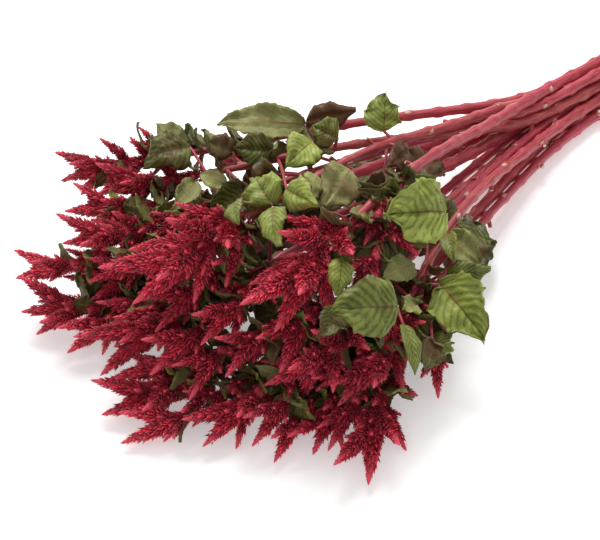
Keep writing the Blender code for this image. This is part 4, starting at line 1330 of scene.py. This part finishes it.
def bloom_mesh(name, core, spikes, stem_radius, shift):
    """A head's closed rods, and a loose corner for every floret with all that the planting tree reads."""
    chance = chance_for("bloom " + name)
    corners = []
    shares = []
    faces = []
    points = []
    for course, widths, slant in head_rods(core, spikes, stem_radius):
        faces += rod_faces(len(course) - 2, sum(len(block) for block in corners))
        corners.append(core_rod(course, widths))
        rings = np.repeat(np.linspace(0, 1, len(course))[1:-1], CORE_AROUND)
        shares.append(np.concatenate([[0.0], rings, [1.0]]))
        points.append(floret_points(course, widths, slant, chance))
    place, direction, outward, length, share = [np.concatenate(column) for column in zip(*points)]
    bare = sum(len(block) for block in corners)
    count = len(place)
    mesh = bpy.data.meshes.new("bloom points")
    mesh.from_pydata((np.vstack(corners + [place]) + shift) * MM, [], faces)
    zeros = np.zeros((bare, 3))
    set_attributes(
        mesh,
        direction=np.vstack([zeros, direction]),
        outward=np.vstack([zeros, outward]),
        length=np.concatenate([zeros[:, 0], length * MM]),
        share=np.concatenate(shares + [share]),
        tone=np.concatenate([zeros[:, 0], chance.uniform(0, 1, count)]),
        blush=np.full(bare + count, chance.uniform(*BLUSHES)),
        sprouts=np.arange(bare + count) >= bare)
    return mesh


def bloom(name, path, spikes, shift, tree, floret, looks):
    """One flower head, its spikes covered with florets."""
    stem, line, radii, core = path
    made = grown("bloom points", bloom_mesh(name, core, spikes, radii[-1], shift), tree, {
        "Shape": floret, "Width": FLORET_WIDTH, "Jitter": FLORET_JITTER, "Seed": len(name) + ord(name[0]),
        "Shape material": looks["floret"], "Ground material": looks["core"]})
    show("bloom_" + name, made, "head_" + name)


# Stems


def smooth_line(line, step):
    """More places along a line, on a smooth curve through the given ones."""
    before = np.vstack([2 * line[0] - line[1], line[:-1]])
    after = np.vstack([line[1:], 2 * line[-1] - line[-2]])
    slope = (after - before) / 2
    places = []
    for index in range(len(line) - 1):
        gap = np.linalg.norm(line[index + 1] - line[index])
        t = np.linspace(0, 1, max(2, int(gap / step)), endpoint=False)[:, None]
        a = (2 * t ** 3 - 3 * t ** 2 + 1) * line[index] + (t ** 3 - 2 * t ** 2 + t) * slope[index]
        b = (3 * t ** 2 - 2 * t ** 3) * line[index + 1] + (t ** 3 - t ** 2) * slope[index + 1]
        places.append(a + b)
    return np.vstack(places + [line[-1:]])


def line_mesh(lines, shift, tint):
    """A mesh of lines of points, each given as places, radii, youth and whether it is closed."""
    corners = np.vstack([places for places, radii, youth, ring in lines])
    edges = []
    first = 0
    for places, radii, youth, ring in lines:
        count = len(places)
        edges += [(first + step, first + step + 1) for step in range(count - 1)]
        if ring:
            edges.append((first + count - 1, first))
        first += count
    mesh = bpy.data.meshes.new("lines")
    mesh.from_pydata((corners + shift) * MM, edges, [])
    set_attributes(
        mesh,
        along=np.concatenate([walked_along(line[0]) for line in lines]) * MM,
        girth=np.concatenate([line[1] for line in lines]) * MM,
        youth=np.concatenate([line[2] for line in lines]),
        tint=np.full(len(corners), tint))
    return mesh


def stem_scars(places, radii, chance):
    """Where leaves once grew up a stem, with how far along all its places and these spots lie.

    Gives both distances, then each spot's place, its direction out of the stem and the stem's own.
    """
    walked = walked_along(places)
    first = chance.uniform(*SCARS_FROM)
    at = np.arange(first, walked[-1] - SCARS_END, SCAR_PITCH) + chance.uniform(-SCAR_STRAY, SCAR_STRAY)
    spots = np.searchsorted(walked, at)
    turn = np.arange(len(at)) * GOLDEN_TURN + chance.uniform(*PHASES)
    onward = all_unit(np.gradient(places, axis=0)[spots])
    side = all_unit(np.cross(onward, UP))
    outward = around(turn, side, np.cross(side, onward))
    return walked, at, places[spots] + outward * radii[spots, None] * SCAR_SUNK, outward, onward


def scar_shape():
    """A low button, long along +X and domed towards +Z."""
    shape = bmesh.new()
    bmesh.ops.create_icosphere(shape, subdivisions=1, radius=1.0)
    for corner in shape.verts:
        corner.co.x *= SCAR_OVAL
    for face in shape.faces:
        face.smooth = True
    mesh = bpy.data.meshes.new("scar")
    shape.to_mesh(mesh)
    shape.free()
    return loose_object("scar", mesh)


def leafstalk(root, base):
    """A leaf's stalk: it leaves the stem and bows a little up to the blade."""
    bow = UP * LEAFSTALK_BOW * np.linalg.norm(base - root)
    return spike_line(root, base, bow, np.linspace(0, 1, LEAFSTALK_STATIONS))


def stem_lines(name, settled, leaves, chance):
    """The lines of a stem, its side shoots, leaf stalks and stubs, and its scars' places and courses."""
    lines = []
    for path, (stem, line, radii, core) in settled.items():
        if stem != name:
            continue
        places = smooth_line(line, SMOOTH_STEP)
        span = np.linspace(0, 1, len(places))
        widths = np.interp(span, np.linspace(0, 1, len(radii)), radii)
        walked, at, spots, outward, onward = stem_scars(places, widths, chance)
        for spot in at:
            widths = widths * (1 + NODE_SWELL * np.exp(-((walked - spot) / NODE_HALF) ** 2))
        youth = span ** 2 if path == name else SHOOT_YOUTH + (1 - SHOOT_YOUTH) * span
        lines.append((places, widths, youth, False))
        if path == name:
            scars = (spots, outward, onward)
            for spot, out, on in list(zip(spots, outward, onward))[::STUB_EVERY]:
                reach = (out + STUB_TILT * on) * chance.uniform(*STUB_REACH)
                stub = spot + np.linspace(-STUB_SUNK, 1, len(STUB_RADII))[:, None] * reach
                if stub[-1, 2] > STUB_LOWEST:
                    lines.append((stub, STUB_RADII, np.full(len(stub), STUB_YOUTH), False))
    for stem, root, leaf, look in leaves:
        if stem == name:
            places = leafstalk(root, leaf[0])
            widths = np.linspace(*LEAFSTALK_RADII, len(places))
            lines.append((places, widths, np.full(len(places), LEAFSTALK_YOUTH), False))
    return lines, scars


def stalk(name, settled, leaves, shift, trees, shapes, looks):
    """One stem with its side shoots, leaf stalks and scars."""
    chance = chance_for("stalk " + name)
    lines, (spots, outward, onward) = stem_lines(name, settled, leaves, chance)
    tint = chance.uniform(0, 1)
    rods = grown("stem lines", line_mesh(lines, shift, tint), trees["rods"], {
        "Sides": ROD_SIDES, "Ridges": STEM_RIDGES, "Ridge depth": RIDGE_DEPTH, "Skin": looks["stem"]})
    points = bpy.data.meshes.new("scar points")
    points.from_pydata((spots + shift) * MM, [], [])
    heights = chance.uniform(*SCAR_HEIGHTS, len(spots)) * MM
    sprouts = np.full(len(spots), True)
    set_attributes(points, direction=outward, outward=onward, length=heights, sprouts=sprouts)
    buttons = grown("scar points", points, trees["planting"], {
        "Shape": shapes["scar"], "Width": SCAR_WIDTH, "Jitter": SCAR_JITTER, "Seed": SCAR_SEED,
        "Shape material": looks["scar"], "Ground material": looks["scar"]})
    show("stalk_" + name, merged(name, [rods, buttons]), "stem_" + name)


def merged(name, meshes):
    """Several meshes in one, with their materials kept."""
    pieces = [loose_object(name, mesh) for mesh in meshes]
    with bpy.context.temp_override(active_object=pieces[0], selected_editable_objects=pieces):
        bpy.ops.object.join()
    mesh = pieces[0].data
    bpy.data.objects.remove(pieces[0])
    return mesh


# Leaves


def vein_relief(u, aside, width):
    """How far the blade bulges between its veins and dips along its midrib, in millimetres."""
    phase = (u - VEIN_SWEEP * aside ** VEIN_CURVE) * VEINS
    quilt = np.abs(np.sin(np.pi * phase)) ** 0.8
    fade = np.clip(u * 6, 0, 1) * np.clip((1 - u) * 5, 0, 1) * np.clip((1 - aside) * 3, 0, 1)
    bulge = LEAF_QUILT * width * quilt * fade * np.clip(aside * 5, 0, 1)
    return bulge - MIDRIB_DEPTH * np.exp(-((aside / MIDRIB_HALF) ** 2))


def crumpled(u, v, phase):
    """Uneven dents over a blade, from waves of many lengths that cross each other; none at its stalk."""
    broad = np.sin(7 * u + 4 * v + phase) * np.sin(5 * v - 9 * u + 2 * phase)
    fine = 0.5 * np.sin(13 * u - 6 * v + 3 * phase) * np.cos(11 * v + 5 * u)
    return (broad + fine) * np.clip(4 * u, 0, 1)


def blade_lift(leaf, u, v, turned):
    """How far each place on a leaf stands out of its middle surface, in millimetres."""
    base, tip, width, face, twist, phase = leaf
    aside = np.abs(v)
    relief = vein_relief(u, aside, width) * (-1 if turned else 1)
    swing = np.sin(2 * np.pi * RUFFLES * u + phase * 3 + v) * np.clip(5 * u * (1 - u), 0, 1)
    ruffle = LEAF_RUFFLE * width * aside ** 3 * swing
    curl = -LEAF_CURL * width * np.clip(aside - CURL_FROM, 0, 1) ** 2 * np.sin(2 * phase)
    crumple = LEAF_CRUMPLE * width * crumpled(u, v, phase)
    droop = LEAF_DROOP * np.linalg.norm(tip - base) * np.clip(u - DROOP_FROM, 0, 1) ** 2 * np.sin(3 * phase)
    return relief + ruffle + curl + crumple + droop


def leaf_grid(leaf, turned):
    """A leaf's corners on a fine grid, with its faces and flat places."""
    base, tip, width = leaf[:3]
    length = np.linalg.norm(tip - base)
    rows = int(np.clip(length / LEAF_ROW_PITCH, *LEAF_ROWS))
    columns = int(np.clip(width / LEAF_COLUMN_PITCH, *LEAF_COLUMNS)) // 2 * 2
    grids = np.meshgrid(np.linspace(0, 1, rows + 1), np.linspace(-1, 1, columns + 1), indexing="ij")
    u, v = [grid.ravel() for grid in grids]
    middle = leaf_places(leaf, u, v)
    notch = LEAF_TEETH * np.abs(np.sin(np.pi * rows / 4 * u)) * np.abs(v) ** 4
    teeth = 1 + notch - LEAF_POINT * np.clip((u - POINT_FROM) / (1 - POINT_FROM), 0, 1) ** 2
    spine = leaf_places(leaf, u, np.zeros(len(u)))
    places = spine + (middle - spine) * teeth[:, None]
    shaped = places.reshape(rows + 1, columns + 1, 3)
    normal = np.cross(*np.gradient(shaped, axis=(0, 1))).reshape(-1, 3)
    normal /= np.maximum(np.linalg.norm(normal, axis=1), TINY)[:, None]
    places = places + normal * blade_lift(leaf, u, v, turned)[:, None]
    corner = np.arange((rows + 1) * (columns + 1)).reshape(rows + 1, columns + 1)
    sides = [corner[:-1, :-1], corner[1:, :-1], corner[1:, 1:], corner[:-1, 1:]]
    faces = np.stack(sides, axis=2).reshape(-1, 4)
    return places, faces[:, ::-1] if turned else faces, np.column_stack([u, v / 2 + 0.5])


def young_leaf(base, axis, roll, chance):
    """A small leaf that leans away from an axis."""
    lean = math.radians(chance.uniform(*YOUNG_LEAN))
    onward = leaned(axis, lean, roll + chance.uniform(-YOUNG_ROLL, YOUNG_ROLL))
    reach = chance.uniform(*YOUNG_REACH)
    stray = YOUNG_FACE_STRAY * chance.uniform(-1, 1, 3)
    face = unit(axis * math.sin(lean) - onward * math.cos(lean) + stray)
    width = reach * chance.uniform(*YOUNG_WIDTH)
    tip = base + onward * reach
    tip[2] = max(tip[2], width / 2)
    return base, tip, width, face, chance.uniform(-YOUNG_TWIST, YOUNG_TWIST), chance.uniform(*PHASES)


def hanging_leaf(base, axis, chance):
    """A leaf, dark as painted shade, that hangs from a low head's foot, forward and down to just above the
    table.
    """
    swing = chance.uniform(-HANGING_SWING, HANGING_SWING)
    forward = unit(axis * (1.0, 1.0, 0.0))
    forward = forward * math.cos(swing) + np.cross(forward, UP) * math.sin(swing)
    tip = base + forward * HANGING_REACH
    tip[2] = HANGING_TIP
    twist = chance.uniform(-HANGING_TWIST, HANGING_TWIST)
    return base, tip, HANGING_WIDTH, UP, twist, chance.uniform(*PHASES)


def young_leaves(name, path, spikes):
    """Small leaves round a head's core and on the shoot behind it, and one that hangs if the head is low."""
    chance = chance_for("young " + name)
    stem, line, radii, core = path
    axis = unit(spikes[0][1] - core[0])
    bases = [core[0] + (core[-1] - core[0]) * chance.uniform(0, 0.9) for turn in range(HEAD_LEAVES)]
    leafy = line[-SHOOT_STATIONS:]
    bases += [leafy[chance.integers(len(leafy))] for turn in range(SHOOT_LEAVES)]
    grown = []
    for turn, base in enumerate(bases):
        leaf = young_leaf(base, axis, turn * GOLDEN_TURN, chance)
        look = (chance.uniform(*YOUNG_LIGHT), chance.uniform(*YOUNG_RIPE_AND_SHADE), turn % 3 == 1)
        grown.append((stem, base, leaf, look))
    if core[0][2] < HANGING_BELOW:
        grown.append((stem, core[0], hanging_leaf(core[0], axis, chance), HANGING_LOOK))
    return grown


def foliage(name, leaves, shift, looks):
    """All the leaves of one stem, as thin blades with a green face and a paler underside."""
    blades = []
    first = 0
    for stem, root, leaf, (light, ripe, turned) in leaves:
        if stem == name:
            places, cells, flat = leaf_grid(leaf, turned)
            blades.append((places, cells + first, flat, np.tile([light, ripe], (len(places), 1))))
            first += len(places)
    corners, cells, flats, tones = [np.vstack(column) for column in zip(*blades)]
    mesh = bpy.data.meshes.new("leaves")
    mesh.from_pydata((corners + shift) * MM, [], cells.tolist())
    sheet = mesh.uv_layers.new(name="leaf")
    sheet.data.foreach_set("uv", flats[cells.ravel()].astype(np.float32).ravel())
    light, ripe = tones.T
    set_attributes(mesh, light=light, ripe=ripe)
    mesh.materials.append(looks["leaf"])
    mesh.materials.append(looks["underside"])
    source = loose_object("leaves", mesh)
    wall = source.modifiers.new("thickness", "SOLIDIFY")
    wall.thickness = BLADE_THICKNESS * MM
    wall.offset = 0
    wall.material_offset = 1
    made = finished(source)
    made.shade_smooth()
    show("foliage_" + name, made, "stem_" + name)


# The rubber band


def rubber_band(shift, tree, looks):
    """A thin rubber band wound a few times round the stems, its turns side by side."""
    centres = np.array(list(band_slots().values()))
    angle = np.linspace(0, 2 * np.pi, BAND_STATIONS, endpoint=False)
    outward = np.column_stack([np.cos(angle), np.sin(angle)])
    held = centres[(centres @ outward.T).argmax(axis=0)]
    around_band = held + outward * (STEM_THICK + TIE_GAP + BAND_RADIUS)
    lines = []
    for turn in range(BAND_TURNS):
        x = TIE_X + (turn - (BAND_TURNS - 1) / 2) * BAND_PITCH * BAND_RADIUS
        places = np.column_stack([np.full(len(angle), x), around_band])
        lines.append((places, np.full(len(places), BAND_RADIUS), np.zeros(len(places)), True))
    made = grown("band lines", line_mesh(lines, shift, 0.0), tree, {
        "Sides": ROD_SIDES, "Ridges": 0.0, "Ridge depth": 0.0, "Skin": looks["rubber"]})
    show("rubber_band", made, "tie")


def main():
    shift = plan_shift()
    place_camera(shift)
    studio()
    settled = settled_paths()
    room = Room()
    take_paths(room, settled)
    spikes = grown_heads(settled, room)
    leaves = grown_leaves(settled, room)
    looks = {
        "floret": floret_crimson(),
        "core": core_maroon_and_shade(),
        "leaf": leaf_material("green leaf", *LEAF_FACE),
        "underside": leaf_material("leaf underside", *LEAF_BACK),
        "stem": stem_rose(),
        "scar": scar_ivory(),
        "rubber": band_rubber(),
    }
    trees = {"planting": planting_tree(), "rods": rod_tree()}
    shapes = {"floret": floret_shape(), "scar": scar_shape()}
    for name in HEADS:
        bloom(name, settled[name], spikes[name], shift, trees["planting"], shapes["floret"], looks)
    young = [leaf for name in HEADS for leaf in young_leaves(name, settled[name], spikes[name])]
    for name in STEMS:
        stalk(name, settled, leaves, shift, trees, shapes, looks)
        foliage(name, leaves + young, shift, looks)
    rubber_band(shift, trees["rods"], looks)
    for shape in shapes.values():
        bpy.data.objects.remove(shape)


main()
